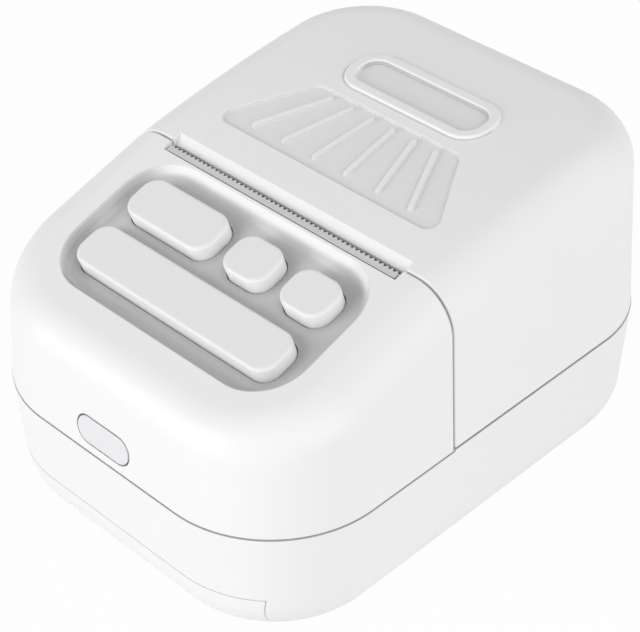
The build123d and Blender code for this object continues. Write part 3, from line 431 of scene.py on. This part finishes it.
def paint_button_shade(graph, tone):
    """The tone of the button's face, and painted shade on its flanks."""
    _, y, z = graph.split()
    behind_face = along(INTO_WALL, y, z) - BUTTON_FACE
    # Painted shade on the button's flanks.
    return graph.mix(behind_face.ramp(*BUTTON_FLANK), tone, opaque(FLANK_SHADE))


button_grey = moulded_plastic("button_grey", BUTTON_COLOUR, roughness=0.35, grain=0.12, paint=paint_button_shade)
key_white = moulded_plastic("key_white", KEY_COLOUR, roughness=0.38, grain=0.15, paint=paint_key_light)
print("top of the long key", round(on_panel(vertices("long_key"))[:, 2].min() / MM, 2), "mm under the panel")

# %% [markdown]
# Where the pieces of the case meet, the photograph shows soft grey lines of shade. The gaps are there in the
# meshes, but light that bounces between their white walls washes them out, so the faces in them get painted shade.
# A place decides which faces these are: a band of heights in the outer skin of the lower case, and the edge of the
# housing that faces the hood.

# %% Painted shade in the seams
SEAM_BAND = (27.8 * MM, 28.4 * MM)
RIM_BAND = (28.22 * MM, 28.28 * MM)
GROOVE_REACH = 1.2 * MM
RIM_REACH = 0.7 * MM
CASE_MIDDLE = (0.0, 0.0)
CASE_HALF = (42.0 * MM, 55.0 * MM)
CASE_CORNER = 23.5 * MM
HOUSING_END = (SPLIT_Y - 0.25 * MM, SPLIT_Y - 0.22 * MM)
# Painted shade for the faces inside the seams.
GROOVE_SHADE = (0.62, 0.62, 0.62)


def within(value, low, high):
    """1 between two limits, with a soft edge inside each."""
    return value.band((low, low + EDGE), (high - EDGE, high))


def case_skin(x, y, reach):
    """1 in the outer skin of the case, as far in as it reaches."""
    return rounded_distance(x, y, CASE_MIDDLE, CASE_HALF, CASE_CORNER).ramp(-reach, EDGE - reach)


def paint_seam_shade(graph, tone):
    """The tone of the lower case, and painted shade in its groove under the housing and on its rim under the hood.
    """
    x, y, z = graph.split()
    front = y.ramp(SPLIT_Y, SPLIT_Y - EDGE)
    groove = case_skin(x, y, GROOVE_REACH) * front
    rim = case_skin(x, y, RIM_REACH) * (1.0 - front) * z.ramp(*RIM_BAND)
    # Painted shade in the groove and on the rim of the seam.
    return graph.mix((groove + rim) * within(z, *SEAM_BAND), tone, opaque(GROOVE_SHADE))


def paint_housing(graph, tone):
    """The painted shade of the tray, and painted shade on the edge that faces the hood."""
    _, y, _ = graph.split()
    # Painted shade on the housing's edge that faces the hood.
    return graph.mix(y.ramp(*HOUSING_END), paint_tray_shade(graph, tone), opaque(GROOVE_SHADE))


case_white = moulded_plastic("case_white", CASE_COLOUR, paint=paint_seam_shade)
housing_white = moulded_plastic("housing_white", CASE_COLOUR, paint=paint_housing)
print("seam from", SEAM_BAND[0] / MM, "to", SEAM_BAND[1] / MM, "mm high")

# %% [markdown]
# The hood carries a moulded fan and ring, whose floors lie a little under its top. An attribute
# on the mesh could hold each point's depth, but the meshes of the frame stay as they are. The top
# is a long shallow arc after a short crest, so the depth is found from a circle: the arc's radius
# less the distance from the arc's middle. The middle follows from the slopes at which panel, crest
# and arc run into each other.

# %% Depth under the hood's arc
CREST_RUN = 3.0 * MM
CREST_RADIUS = 60.0 * MM
HOOD_SLOPE = math.radians(11.5)
HOOD_RADIUS = 330.0 * MM


def square_down(slope):
    """Direction, as Y and Z, that points down square to a surface of that slope."""
    return Vector((math.sin(slope), -math.cos(slope)))


crest_start = Vector((SPLIT_Y - CREST_RUN, SPLIT_Z - CREST_RUN * math.tan(PANEL_SLOPE)))
crest_middle = crest_start + square_down(PANEL_SLOPE) * CREST_RADIUS
arc_middle = crest_middle + square_down(HOOD_SLOPE) * (HOOD_RADIUS - CREST_RADIUS)


def under_arc(y, z):
    """Depth of a point under the hood's arc as a shader value."""
    run, rise = y - arc_middle.x, z - arc_middle.y
    return HOOD_RADIUS - (rise * rise + run * run).root()


print("middle of the hood's arc", [round(value / MM, 1) for value in arc_middle], "mm")

# %% [markdown]
# The sunken floors are painted a little greyer than the hood round them, and the low walls beside them greyer
# still, as painted shade. A hard light from one side would bring them out too, but it would darken half the case.
# So depth picks the painted shade, inside the rectangle that holds fan and ring.

# %% Painted shade of the fan and the ring
# Painted shade: grey for the sunken floors and a darker grey for their walls.
RELIEF_SHADE = (0.81, 0.81, 0.81)
RELIEF_DEPTH = (0.18 * MM, 0.4 * MM)
RELIEF_END_DEPTH = (0.8 * MM, 1.0 * MM)
RELIEF_WALL_SHADE = (0.70, 0.70, 0.70)
WALL_DEPTH = (0.02 * MM, 0.1 * MM)
WALL_END_DEPTH = (0.25 * MM, 0.4 * MM)
RELIEF_HALF_WIDTH = 29.5 * MM
RELIEF_ROWS = (-1.5 * MM, 31.5 * MM)


def paint_relief_shade(graph, tone):
    """The tone of the hood, painted shade on the sunken floors, and darker painted shade on their walls."""
    x, y, z = graph.split()
    deep = under_arc(y, z)
    inside = within(x, -RELIEF_HALF_WIDTH, RELIEF_HALF_WIDTH) * within(y, *RELIEF_ROWS)
    floor = deep.band(RELIEF_DEPTH, RELIEF_END_DEPTH) * inside
    # Painted shade on the floors and walls of fan and ring.
    floored = graph.mix(floor, tone, opaque(RELIEF_SHADE))
    wall = deep.band(WALL_DEPTH, WALL_END_DEPTH) * inside
    return graph.mix(wall, floored, opaque(RELIEF_WALL_SHADE))


print("fan and ring within", 2 * RELIEF_HALF_WIDTH / MM, "mm across")

# %% [markdown]
# The ring is an oblong bead. Two fine painted shadows make it stand out: a crease along its front foot, and a
# ledge inside its back half. A deeper bead would overdo the shape, so both are painted lines a few tenths of a
# millimetre wide, at a set distance from the ring's outline. The same painted shade greys the foot of the hood,
# which shows in the seam.

# %% Painted shadows of the ring and painted shade on the foot of the hood
RING_MIDDLE = (0.0, 26.0 * MM)
RING_HALF = (17.2 * MM, 5.9 * MM)
RING_CORNER = 5.3 * MM
RING_HALVES = (25.0 * MM, 27.0 * MM)
# Painted shadows: the grey of the crease and the darker grey of the ledge.
CREASE_SHADOW = (0.66, 0.66, 0.66)
CREASE_REACH = 0.6 * MM
LEDGE_SHADOW = (0.58, 0.58, 0.58)
LEDGE_INSET = 2.1 * MM
LEDGE_DEPTH = (-0.35 * MM, -0.15 * MM)
HOOD_FOOT = (28.85 * MM, 28.75 * MM)


def paint_ring_shadows(graph, tone):
    """The tone given, with painted shadow in the crease of the ring's front half and on its back half's ledge."""
    x, y, z = graph.split()
    beyond = rounded_distance(x, y, RING_MIDDLE, RING_HALF, RING_CORNER)
    back = y.ramp(*RING_HALVES)
    crease = beyond.band((0.0, EDGE), (3 * EDGE, CREASE_REACH)) * (1.0 - back)
    creased = graph.mix(crease, tone, opaque(CREASE_SHADOW))
    ledge = (beyond + LEDGE_INSET).band((-2 * EDGE, 0.0), (0.0, EDGE))
    return graph.mix(ledge * under_arc(y, z).ramp(*LEDGE_DEPTH) * back, creased, opaque(LEDGE_SHADOW))


def paint_hood(graph, tone):
    """The painted shades of fan and ring, and painted shade on the outer edge of the hood's foot."""
    x, y, z = graph.split()
    # Painted shade on the outer edge of the hood's foot.
    foot = z.ramp(*HOOD_FOOT) * case_skin(x, y, RIM_REACH)
    return graph.mix(foot, paint_ring_shadows(graph, paint_relief_shade(graph, tone)), opaque(GROOVE_SHADE))


hood_white = moulded_plastic("hood_white", CASE_COLOUR, paint=paint_hood)
print("hood painted with", len(hood_white.node_tree.nodes), "nodes")

# %% [markdown]
# Metal parts differ by how they were made. Drawn and rolled metal has long fine marks along one
# direction, so its noise is stretched. Zinc plate has a soft mottled bloom of grains, which a
# Voronoi texture gives: each cell has its own tone and its own gloss. Plain grey metal would do
# for a distant view, but the open hood shows these parts close up.

# %% Metals
MARK_SCALE = 1500.0
BLOOM_SCALE = 650.0
PLATE_SCALE = 2400.0
METAL_BUMP = 0.004 * MM


def drawn_metal(name, colour, roughness, length):
    """Metal with fine marks along X that are so many times as long as wide."""
    graph = Graph(name)
    drawn = graph.node("ShaderNodeMapping", None, Vector=graph.place(), Scale=(1.0 / length, 1.0, 1.0))
    marks = graph.noise(MARK_SCALE, detail=4.0, roughness=0.65, where=drawn)
    return graph.finish(
        Base_Color=graph.mix(marks, opaque(colour, share=0.82), opaque(colour)),
        Metallic=1.0,
        Roughness=marks.about(roughness, width=0.2),
        Normal=graph.bump(marks, strength=0.3, depth=METAL_BUMP),
    )


def zinc_plate(name, colour):
    """Zinc-plated sheet: a bloom of small grains over a fine unevenness."""
    graph = Graph(name)
    cell = graph.cells(BLOOM_SCALE)
    fine = graph.noise(PLATE_SCALE, detail=3.0)
    return graph.finish(
        Base_Color=graph.mix(cell, opaque(colour, share=0.86), opaque(colour)),
        Metallic=1.0,
        Roughness=0.36 + cell * 0.16,
        Normal=graph.bump(fine, strength=0.2, depth=METAL_BUMP),
    )


steel = drawn_metal("steel", (0.66, 0.66, 0.67), roughness=0.30, length=20.0)
cutter_steel = drawn_metal("cutter_steel", (0.62, 0.62, 0.63), roughness=0.46, length=20.0)
frame_steel = zinc_plate("frame_steel", (0.72, 0.73, 0.73))
aluminium = drawn_metal("aluminium", (0.78, 0.78, 0.79), roughness=0.36, length=25.0)
bronze = drawn_metal("bronze", (0.66, 0.46, 0.22), roughness=0.35, length=1.0)
contact_gold = drawn_metal("contact_gold", (0.86, 0.66, 0.32), roughness=0.28, length=10.0)
print("metals", [metal.name for metal in (steel, cutter_steel, frame_steel, aluminium, bronze, contact_gold)])

# %% [markdown]
# The ribbon and the print head carry rows of fine conductors. Strips of mesh could show them, but
# they lie under film and glaze, where they hardly stand out, so they belong in the finish. A
# coordinate folded to and fro over half a pitch, with a ramp on it, gives the stripes.

# %% Ribbon and print head
RIBBON_PITCH = 1.0 * MM
RIBBON_BUMP = 0.02 * MM
HEAD_PITCH = 0.5 * MM
HEATER_LINE = (0.48 * MM, 0.6 * MM)
STRIPE_SOFTNESS = 0.1


def striped(graph, pitch, share, axis=0):
    """1 on stripes a pitch apart along an axis, each that share of the pitch wide."""
    edge = share * pitch / 2
    folded = graph.split()[axis].to_and_fro(pitch / 2)
    return folded.ramp(edge * (1 + STRIPE_SOFTNESS), edge * (1 - STRIPE_SOFTNESS))


def ribbon_film():
    """Amber film with copper conductors under it."""
    graph = Graph("ribbon")
    stripe = striped(graph, RIBBON_PITCH, share=0.55)
    return graph.finish(
        Base_Color=graph.mix(stripe, opaque((0.46, 0.26, 0.07)), opaque((0.62, 0.34, 0.12))),
        Roughness=0.32 - stripe * 0.08,
        Normal=graph.bump(stripe, strength=0.3, depth=RIBBON_BUMP),
    )


def head_ceramic():
    """Glazed ceramic strip with fine gold conductors across it and one dark heating line."""
    graph = Graph("ceramic")
    low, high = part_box("print_head")
    line_z = float(low[2] + high[2]) / 2
    stripe = striped(graph, HEAD_PITCH, share=0.5)
    line = 1.0 - abs(graph.split()[2] - line_z).ramp(*HEATER_LINE)
    plain = graph.mix(stripe, opaque((0.80, 0.78, 0.70)), opaque((0.66, 0.55, 0.34)))
    return graph.finish(
        Base_Color=graph.mix(line, plain, opaque((0.16, 0.10, 0.07))),
        Roughness=0.14 + stripe * 0.1,
    )


ribbon = ribbon_film()
ceramic = head_ceramic()
print("conductors every", RIBBON_PITCH / MM, "mm on the ribbon and", HEAD_PITCH / MM, "mm on the head")

# %% [markdown]
# A circuit board shows bundles of copper tracks through its green coat, some along the board and
# some across. Drawn one by one they would take hours, so a Voronoi texture with square cells cuts
# the board into patches, and each patch shows one of two sets of stripes. The last finishes need
# less: ground rubber is dark, dull and slightly speckled, and chips and battery are plain plastic.

# %% Circuit boards and the other finishes
TRACK_PATCHES = 110.0
TRACK_PITCH = 0.8 * MM
TRACK_SHARE = 0.45
TRACK_BUMP = 0.03 * MM
PATCH_HALVES = (0.48, 0.52)
SPECKLE_SCALE = 2600.0
SPECKLE_BUMP = 0.015 * MM


def board_finish():
    """Green coat with bundles of copper tracks under it, some along the board, some across."""
    graph = Graph("circuit_board")
    turned = graph.cells(TRACK_PATCHES, metric="CHEBYCHEV").ramp(*PATCH_HALVES)
    lengthwise, crosswise = (striped(graph, TRACK_PITCH, TRACK_SHARE, axis) for axis in (0, 1))
    track = crosswise * turned + lengthwise * (1.0 - turned)
    return graph.finish(
        Base_Color=graph.mix(track, opaque((0.018, 0.14, 0.055)), opaque((0.035, 0.26, 0.09))),
        Roughness=0.26 + track * 0.06,
        Normal=graph.bump(track, strength=0.4, depth=TRACK_BUMP),
    )


def ground_rubber(name, colour, roughness):
    """Ground rubber: dark, dull and slightly speckled."""
    graph = Graph(name)
    speckle = graph.noise(SPECKLE_SCALE, detail=4.0, roughness=0.7)
    return graph.finish(
        Base_Color=graph.mix(speckle, opaque(colour), opaque(colour, share=2.0)),
        Roughness=speckle.about(roughness, width=0.1),
        Normal=graph.bump(speckle, strength=0.35, depth=SPECKLE_BUMP),
    )


circuit_board = board_finish()
rubber = ground_rubber("rubber", (0.030, 0.030, 0.032), roughness=0.78)
chip_black = moulded_plastic("chip_black", (0.035, 0.035, 0.04), shade=0.8, roughness=0.5)
battery_wrap = moulded_plastic("battery_wrap", (0.12, 0.16, 0.26), shade=0.9, roughness=0.3, grain=0.05)
print("tracks every", TRACK_PITCH / MM, "mm on the boards")

# %% [markdown]
# Every carried-over node gets the finish of its material slot, and three have one of their own: the front housing
# with the painted shade of its tray, the hood with the painted shade of its relief, and the duller steel of the
# tear bar. A piece could carry several finishes on chosen faces, but a node's mesh stays as it is, so each has one
# finish.

# %% Dress the nodes
FINISHES = {
    "case_white": case_white,
    "key_white": key_white,
    "button_grey": button_grey,
    "dark_plastic": dark_plastic,
    "white_gear_plastic": gear_nylon,
    "rubber": rubber,
    "steel": steel,
    "frame_steel": frame_steel,
    "aluminium": aluminium,
    "ceramic": ceramic,
    "bronze": bronze,
    "circuit_board": circuit_board,
    "chip_black": chip_black,
    "battery_wrap": battery_wrap,
    "ribbon": ribbon,
}
OWN_FINISHES = {"front_housing": housing_white, "lid_cover": hood_white, "tear_bar": cutter_steel}
SLOTS = {part["node"]: part["material_slot"] for part in frame["record"]["subparts"]}

for name, slot in SLOTS.items():
    materials = NODES[name].data.materials
    materials.clear()
    materials.append(OWN_FINISHES.get(name, FINISHES[slot]))
print("dressed", len(SLOTS), "nodes in", len(FINISHES) + len(OWN_FINISHES), "finishes")

# %% [markdown]
# Screws, springs and contacts repeat, so Geometry Nodes make them: one tree builds a single piece
# from its sizes and sets a copy on every point of a small base mesh. The helper below opens a tree
# with named inputs. The copies are made real and given their finish in the tree itself, and the
# result is turned into a plain mesh, because an exported model keeps no instances.

# %% Shape helper
SMOOTH_ANGLE = math.radians(35.0)


class Shape(Tree):
    """A Geometry Nodes tree with named sizes, which sets one piece on every point it is given."""

    def __init__(self, name, *sizes):
        super().__init__(bpy.data.node_groups.new(name, "GeometryNodeTree"))
        self.entry = self.tree.nodes.new("NodeGroupInput")
        self.exit = self.tree.nodes.new("NodeGroupOutput")
        interface = self.tree.interface
        interface.new_socket("Points", in_out="INPUT", socket_type="NodeSocketGeometry")
        interface.new_socket("Pieces", in_out="OUTPUT", socket_type="NodeSocketGeometry")
        self.keys = {}
        for size in (*sizes, "Axis"):
            kind = "NodeSocketVector" if size == "Axis" else "NodeSocketFloat"
            self.keys[size] = interface.new_socket(size, in_out="INPUT", socket_type=kind).identifier

    def size(self, name):
        return Value(self, self.entry.outputs[name])

    def vector(self, x=0.0, y=0.0, z=0.0):
        return self.node("ShaderNodeCombineXYZ", None, x, y, z)

    def lowered(self, piece, drop):
        return self.node("GeometryNodeTransform", None, Geometry=piece, Translation=self.vector(z=0.0 - drop))

    def joined(self, *pieces):
        join = self.tree.nodes.new("GeometryNodeJoinGeometry")
        for piece in pieces:
            self.tree.links.new(piece.socket, join.inputs[0])
        return Value(self, join.outputs[0])

    def set_on_points(self, piece, material):
        """Copy the piece to every point, its own Z along the axis, make it real and finish it."""
        turn = self.node("FunctionNodeAlignRotationToVector", {"axis": "Z"}, Vector=self.size("Axis"))
        points = self.size("Points")
        copies = self.node("GeometryNodeInstanceOnPoints", None, Points=points, Instance=piece, Rotation=turn)
        real = self.node("GeometryNodeRealizeInstances", None, copies)
        done = self.node("GeometryNodeSetMaterial", None, Geometry=real, Material=material)
        self.tree.links.new(done.socket, self.exit.inputs[0])

    def grow(self, name, points, axis, **sizes):
        """Run the tree on points with these sizes and return a plain mesh object."""
        base = bpy.data.meshes.new(name + "_points")
        base.from_pydata([tuple(point) for point in points], [], [])
        piece = bpy.data.objects.new(name, base)
        bpy.context.scene.collection.objects.link(piece)
        modifier = piece.modifiers.new("grow", "NODES")
        modifier.node_group = self.tree
        modifier[self.keys["Axis"]] = tuple(float(part) for part in axis)
        for key, value in sizes.items():
            modifier[self.keys[key.replace("_", " ")]] = float(value)
        bpy.context.view_layer.update()
        seen = piece.evaluated_get(bpy.context.evaluated_depsgraph_get())
        mesh = bpy.data.meshes.new_from_object(seen)
        piece.modifiers.clear()
        piece.data = mesh
        mesh.polygons.foreach_set("use_smooth", [True] * len(mesh.polygons))
        mesh.set_sharp_from_angle(angle=SMOOTH_ANGLE)
        return piece


# %% [markdown]
# Where the small parts sit could be typed in, but the frame already holds a plain screw or spring
# at each place. A node of several solids is one mesh, so its solids are told apart first: from a
# corner point, every point that edges lead to belongs to the same solid.

# %% Tell the solids of a node apart
TOUCH = 0.001 * MM
BODIES = frame["record"]["behaviour"]["bodies"]
BODY_OF = {node: body for body, nodes in BODIES.items() for node in nodes}


def solids(name):
    """The corner points of each separate solid in a carried-over node."""
    shape = bmesh.new()
    shape.from_mesh(NODES[name].data)
    bmesh.ops.remove_doubles(shape, verts=shape.verts, dist=TOUCH)
    seen, found = set(), []
    for start in shape.verts:
        if start in seen:
            continue
        seen.add(start)
        reached = [start]
        for vertex in reached:
            near = [edge.other_vert(vertex) for edge in vertex.link_edges]
            reached += [other for other in near if other not in seen]
            seen.update(near)
        found.append(np.array([tuple(vertex.co) for vertex in reached]))
    shape.free()
    return found


print("solids of the feet:", len(solids("rubber_feet")))

# %% [markdown]
# The screws are cross-head. A plain disc would read as a plug, and a painted cross would look flat
# in the model, so each head gets a real recess, cut by two crossed bars. A flat head is a cone with
# two equal ends and a countersunk one narrows to its foot, so one tree serves both kinds.

# %% Shape of a screw
RECESS_WIDTH = 0.26
RECESS_SPAN = 1.24
RECESS_DEPTH = 0.62
HEAD_CORNERS = 40
SHANK_CORNERS = 24


def cone(shape, corners, top, foot, height):
    """A closed cone of two radii that stands on the origin."""
    sizes = {"Radius_Top": top, "Radius_Bottom": foot, "Depth": height}
    return shape.node("GeometryNodeMeshCone", {"fill_type": "NGON"}, Vertices=corners, **sizes)


def boolean(shape, operation, first, second):
    """The exact Boolean of two pieces of mesh, or of those joined in the second."""
    settings = {"operation": operation, "solver": "EXACT"}
    return shape.node("GeometryNodeMeshBoolean", settings, first, second)


def screw_shape(material):
    """A tree for a screw whose head is on top, with sizes in metres."""
    sizes = ("Head radius", "Foot radius", "Head height", "Shank radius", "Shank length")
    shape = Shape("screw", *sizes)
    radius, foot, height, shank_radius, length = (shape.size(name) for name in sizes)
    head = shape.lowered(cone(shape, HEAD_CORNERS, radius, foot, height), height)
    span, width, deep = radius * RECESS_SPAN, radius * RECESS_WIDTH, height * (2 * RECESS_DEPTH)
    bars = [
        shape.node("GeometryNodeMeshCube", None, shape.vector(*size))
        for size in ((span, width, deep), (width, span, deep))
    ]
    cross = boolean(shape, "UNION", None, shape.joined(*bars))
    cut = boolean(shape, "DIFFERENCE", head, cross)
    shank = shape.lowered(cone(shape, SHANK_CORNERS, shank_radius, shank_radius, length), height + length)
    shape.set_on_points(shape.joined(cut, shank), material)
    return shape


screws = screw_shape(steel)
print("screw with inputs", list(screws.keys))

# %% [markdown]
# The sizes could be typed in again, but then a change of the frame would leave the screws behind.
# So they are measured on the screws that the frame holds. The far end of a screw gives the shank's
# radius, and the head is the stretch that is wider than that. A countersunk head tapers into the
# shank, so there the last level of points before the top is the cone's foot.

# %% Measure a screw
UP = np.array((0.0, 0.0, 1.0))
END_BAND = 0.01 * MM
WIDEST = 0.98
LOOSE = 0.05
MICRON_DIGITS = 6


def round_axis(points, axis):
    """Of points round a line: how far along it they lie, how far from it, and where the line is."""
    places = points @ axis
    across = points - np.outer(places, axis)
    middle = (across.min(axis=0) + across.max(axis=0)) / 2
    return places, np.linalg.norm(across - middle, axis=1), middle


def toward_head(points, axis):
    """The axis, turned round where the widest points of the screw lie at its other end."""
    places, reach, _ = round_axis(points, axis)
    widest = reach > reach.max() * WIDEST
    return -axis if places[widest].mean() < places.mean() else axis


def measure_screw(points, axis, countersunk):
    """The middle of a screw's top, and its sizes under the names of the tree's inputs."""
    places, reach, middle = round_axis(points, axis)
    shank = reach[places < places.min() + END_BAND].max()
    if countersunk:
        levels = np.unique(np.round(places[reach > shank * (1 - LOOSE)], MICRON_DIGITS))
        height = places.max() - levels[-2]
    else:
        height = places.max() - places[reach > shank * (1 + LOOSE)].min()
    sizes = {
        "Head_radius": reach.max(),
        "Foot_radius": shank if countersunk else reach.max(),
        "Head_height": height,
        "Shank_radius": shank,
        "Shank_length": places.max() - places.min() - height,
    }
    return middle + axis * places.max(), sizes


corners = solids("case_screws")[0]
_, measured = measure_screw(corners, toward_head(corners, UP), countersunk=False)
print("a case screw", {name: round(float(size) / MM, 2) for name, size in measured.items()}, "mm")

# %% [markdown]
# The new screws take the place of the plain ones, node by node, and ride on the same body. A Bevel
# modifier rounds the rims of heads and recesses, which would take many nodes in the tree itself.

# %% Screws in place
BEVEL_WIDTH = 0.12 * MM
BEVELS_A_HEAD = 6
BEVEL_STEPS = 2
BEVEL_ANGLE = math.radians(50.0)


def add_screws(node, axis, countersunk=False):
    """Cross-head screws for one node whose screws are alike and lie along one axis."""
    found = solids(node)
    axis = toward_head(found[0], axis)
    measured = [measure_screw(points, axis, countersunk) for points in found]
    tops = [top for top, _ in measured]
    sizes = measured[0][1]
    piece = screws.grow(node + "_cross_head", tops, axis, **sizes)
    bevel = piece.modifiers.new("rim", "BEVEL")
    bevel.width = min(BEVEL_WIDTH, sizes["Head_height"] / BEVELS_A_HEAD)
    bevel.segments = BEVEL_STEPS
    bevel.limit_method = "ANGLE"
    bevel.angle_limit = BEVEL_ANGLE
    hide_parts(node)
    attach(piece, BODY_OF[node])
    radius, height = (round(sizes[key] / MM, 2) for key in ("Head_radius", "Head_height"))
    print(node, len(tops), "screws, head", radius, "x", height, "mm")


for node in ("case_screws", "board_screws", "frame_screws", "holder_screws"):
    add_screws(node, UP)
add_screws("cover_screws", UP, countersunk=True)
add_screws("keypad_screws", INTO_PANEL)
add_screws("power_board_screws", INTO_WALL)

# %% [markdown]
# The two springs behind the print head are coils of round wire. A Screw modifier could wind a
# circle up, but here the Spiral node draws the line of one coil and Curve to Mesh gives it the
# wire's thickness, so the sizes stay open as inputs and both springs come from one tree.

# %% Head springs
SPRING_TURNS = 5.0
SPRING_WIRE = 0.25 * MM
STEPS_A_TURN = 32
WIRE_CORNERS = 12
ALONG_Y = (0.0, 1.0, 0.0)


def spring_shape(material):
    """A tree for a coil of round wire that stands on its point."""
    sizes = ("Coil radius", "Coil length", "Wire radius", "Turns")
    shape = Shape("spring", *sizes)
    radius, length, wire_radius, turns = (shape.size(name) for name in sizes)
    line = shape.node(
        "GeometryNodeCurveSpiral",
        None,
        Resolution=STEPS_A_TURN,
        Rotations=turns,
        Start_Radius=radius,
        End_Radius=radius,
        Height=length,
    )
    wire = shape.node("GeometryNodeCurvePrimitiveCircle", None, Resolution=WIRE_CORNERS, Radius=wire_radius)
    tube = shape.node("GeometryNodeCurveToMesh", None, Curve=line, Profile_Curve=wire, Fill_Caps=True)
    shape.set_on_points(shape.node("GeometryNodeMergeByDistance", None, tube, Distance=TOUCH), material)
    return shape


coils = [(points.min(axis=0), points.max(axis=0)) for points in solids("head_springs")]
starts = [((low[0] + high[0]) / 2, low[1] + SPRING_WIRE, (low[2] + high[2]) / 2) for low, high in coils]
size = coils[0][1] - coils[0][0]
springs = spring_shape(steel).grow(
    "spring_coils",
    starts,
    ALONG_Y,
    Coil_radius=size[2] / 2 - SPRING_WIRE,
    Coil_length=size[1] - 2 * SPRING_WIRE,
    Wire_radius=SPRING_WIRE,
    Turns=SPRING_TURNS,
)
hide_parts("head_springs")
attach(springs, BODY_OF["head_springs"])
print("springs", len(starts), "of", SPRING_TURNS, "turns")

# %% [markdown]
# The charging socket is a steel shell with a flat tongue, and the tongue carries a row of gilt
# contacts on each side. An Array modifier would need one object a row, so the same kind of tree
# sets a thin bar on points, a pitch apart, on the two faces of the tongue.

# %% Socket contacts
CONTACTS = 12
CONTACT_PITCH = 0.46 * MM
CONTACT_SIZE = (3.6 * MM, 0.26 * MM, 0.08 * MM)
CONTACT_SETBACK = 0.5 * MM
TONGUE_HALF = 0.3 * MM


def contact_shape(material):
    """A tree for a flat bar round its point."""
    sizes = ("Length", "Width", "Thickness")
    shape = Shape("contact", *sizes)
    sides = shape.vector(*(shape.size(name) for name in sizes))
    shape.set_on_points(shape.node("GeometryNodeMeshCube", None, sides), material)
    return shape


length, width, thickness = CONTACT_SIZE
low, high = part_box("usb_socket")
middle_y, middle_z = (low[1] + high[1]) / 2, (low[2] + high[2]) / 2
contact_x = low[0] + CONTACT_SETBACK + length / 2
spots = [
    (contact_x, middle_y + (number - (CONTACTS - 1) / 2) * CONTACT_PITCH, middle_z + side * TONGUE_HALF)
    for side in (-1, 1)
    for number in range(CONTACTS)
]
contacts = contact_shape(contact_gold).grow(
    "socket_contacts", spots, UP, Length=length, Width=width, Thickness=thickness
)
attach(contacts, BODY_OF["usb_socket"])
print("contacts", len(spots))

# %% [markdown]
# The stage is a pale floor and an even pale sky. Both show as white to the camera, and to rays
# that come from gloss or clear glass, so that metal shows the pale ground too. More light would
# make them white as well, but it would burn out the white case. The floor is matt beneath, and the
# small share of it that isn't shown as white keeps the object's soft shadow.

# %% Floor and sky
FLOOR_SIZE = 6.0
FLOOR_GREY = 0.86
FLOOR_SHOWN_WHITE = 0.96
SKY_LEVEL = 0.462
SKY_SHOWN = 0.985
WHITE = (1.0, 1.0, 1.0, 1.0)
SHOWN_RAYS = ("Is Camera Ray", "Is Glossy Ray", "Is Transmission Ray")


def shown_rays(graph):
    """1 where the ray comes from the camera, a mirror or clear glass, else 0."""
    path = graph.tree.nodes.new("ShaderNodeLightPath")
    from_camera, from_gloss, from_glass = (Value(graph, path.outputs[name]) for name in SHOWN_RAYS)
    return (from_camera + from_gloss + from_glass).at_most(1.0)


def add_floor():
    """A large matt floor that shows nearly white."""
    bpy.ops.mesh.primitive_plane_add(size=FLOOR_SIZE)
    floor = bpy.context.object
    floor.name = "floor"
    graph = Graph("floor")
    matt = graph.node("ShaderNodeBsdfDiffuse", None, Color=opaque((FLOOR_GREY,) * 3))
    white = graph.node("ShaderNodeEmission", None, Color=WHITE, Strength=1.0)
    surface = graph.node("ShaderNodeMixShader", None, shown_rays(graph) * FLOOR_SHOWN_WHITE, matt, white)
    floor.data.materials.append(graph.close(surface))


def add_sky():
    """A white world that lights the object at one level and shows at another."""
    world = bpy.data.worlds.new("sky")
    bpy.context.scene.world = world
    world.use_nodes = True
    sky = Tree(world.node_tree)
    sky.tree.nodes.clear()
    strength = SKY_LEVEL + shown_rays(sky) * (SKY_SHOWN - SKY_LEVEL)
    light = sky.node("ShaderNodeBackground", None, WHITE, strength)
    output = sky.tree.nodes.new("ShaderNodeOutputWorld")
    sky.tree.links.new(light.socket, output.inputs[0])


add_floor()
add_sky()
print("sky at", SKY_LEVEL, "and shown at", SKY_SHOWN)

# %% [markdown]
# The lamps are wide soft boxes: a low one at the front left, which makes the front wall the
# brightest face as in the photograph, a weaker one at the right, and a faint one behind. A single
# hard lamp would draw edges that the photograph doesn't have. Their strengths were set by
# comparing the tone of each face with the photograph, at a level where white stays under clipping.

# %% Lamps
LAMP_DISTANCE = 1.4


def add_lamp(name, azimuth, elevation, size, watts):
    """Square soft box at a place round the object, turned to its middle."""
    data = bpy.data.lights.new(name, "AREA")
    data.size = size
    data.energy = watts
    lamp = bpy.data.objects.new(name, data)
    bpy.context.scene.collection.objects.link(lamp)
    toward = direction(azimuth, elevation)
    lamp.location = CAMERA_TARGET + LAMP_DISTANCE * toward
    lamp.rotation_mode = "QUATERNION"
    lamp.rotation_quaternion = (-toward).to_track_quat("-Z", "Y")


add_lamp("front_left_box", azimuth=-22.0, elevation=12.0, size=0.9, watts=11.4)
add_lamp("right_box", azimuth=82.0, elevation=22.0, size=1.1, watts=7.7)
add_lamp("back_box", azimuth=150.0, elevation=45.0, size=1.1, watts=2.4)
print("lamps", len(bpy.data.lights))

# %% [markdown]
# Blender's usual view bends colours as film does. The Standard one shows them as they are written.

# %% Close
bpy.context.scene.view_settings.view_transform = "Standard"
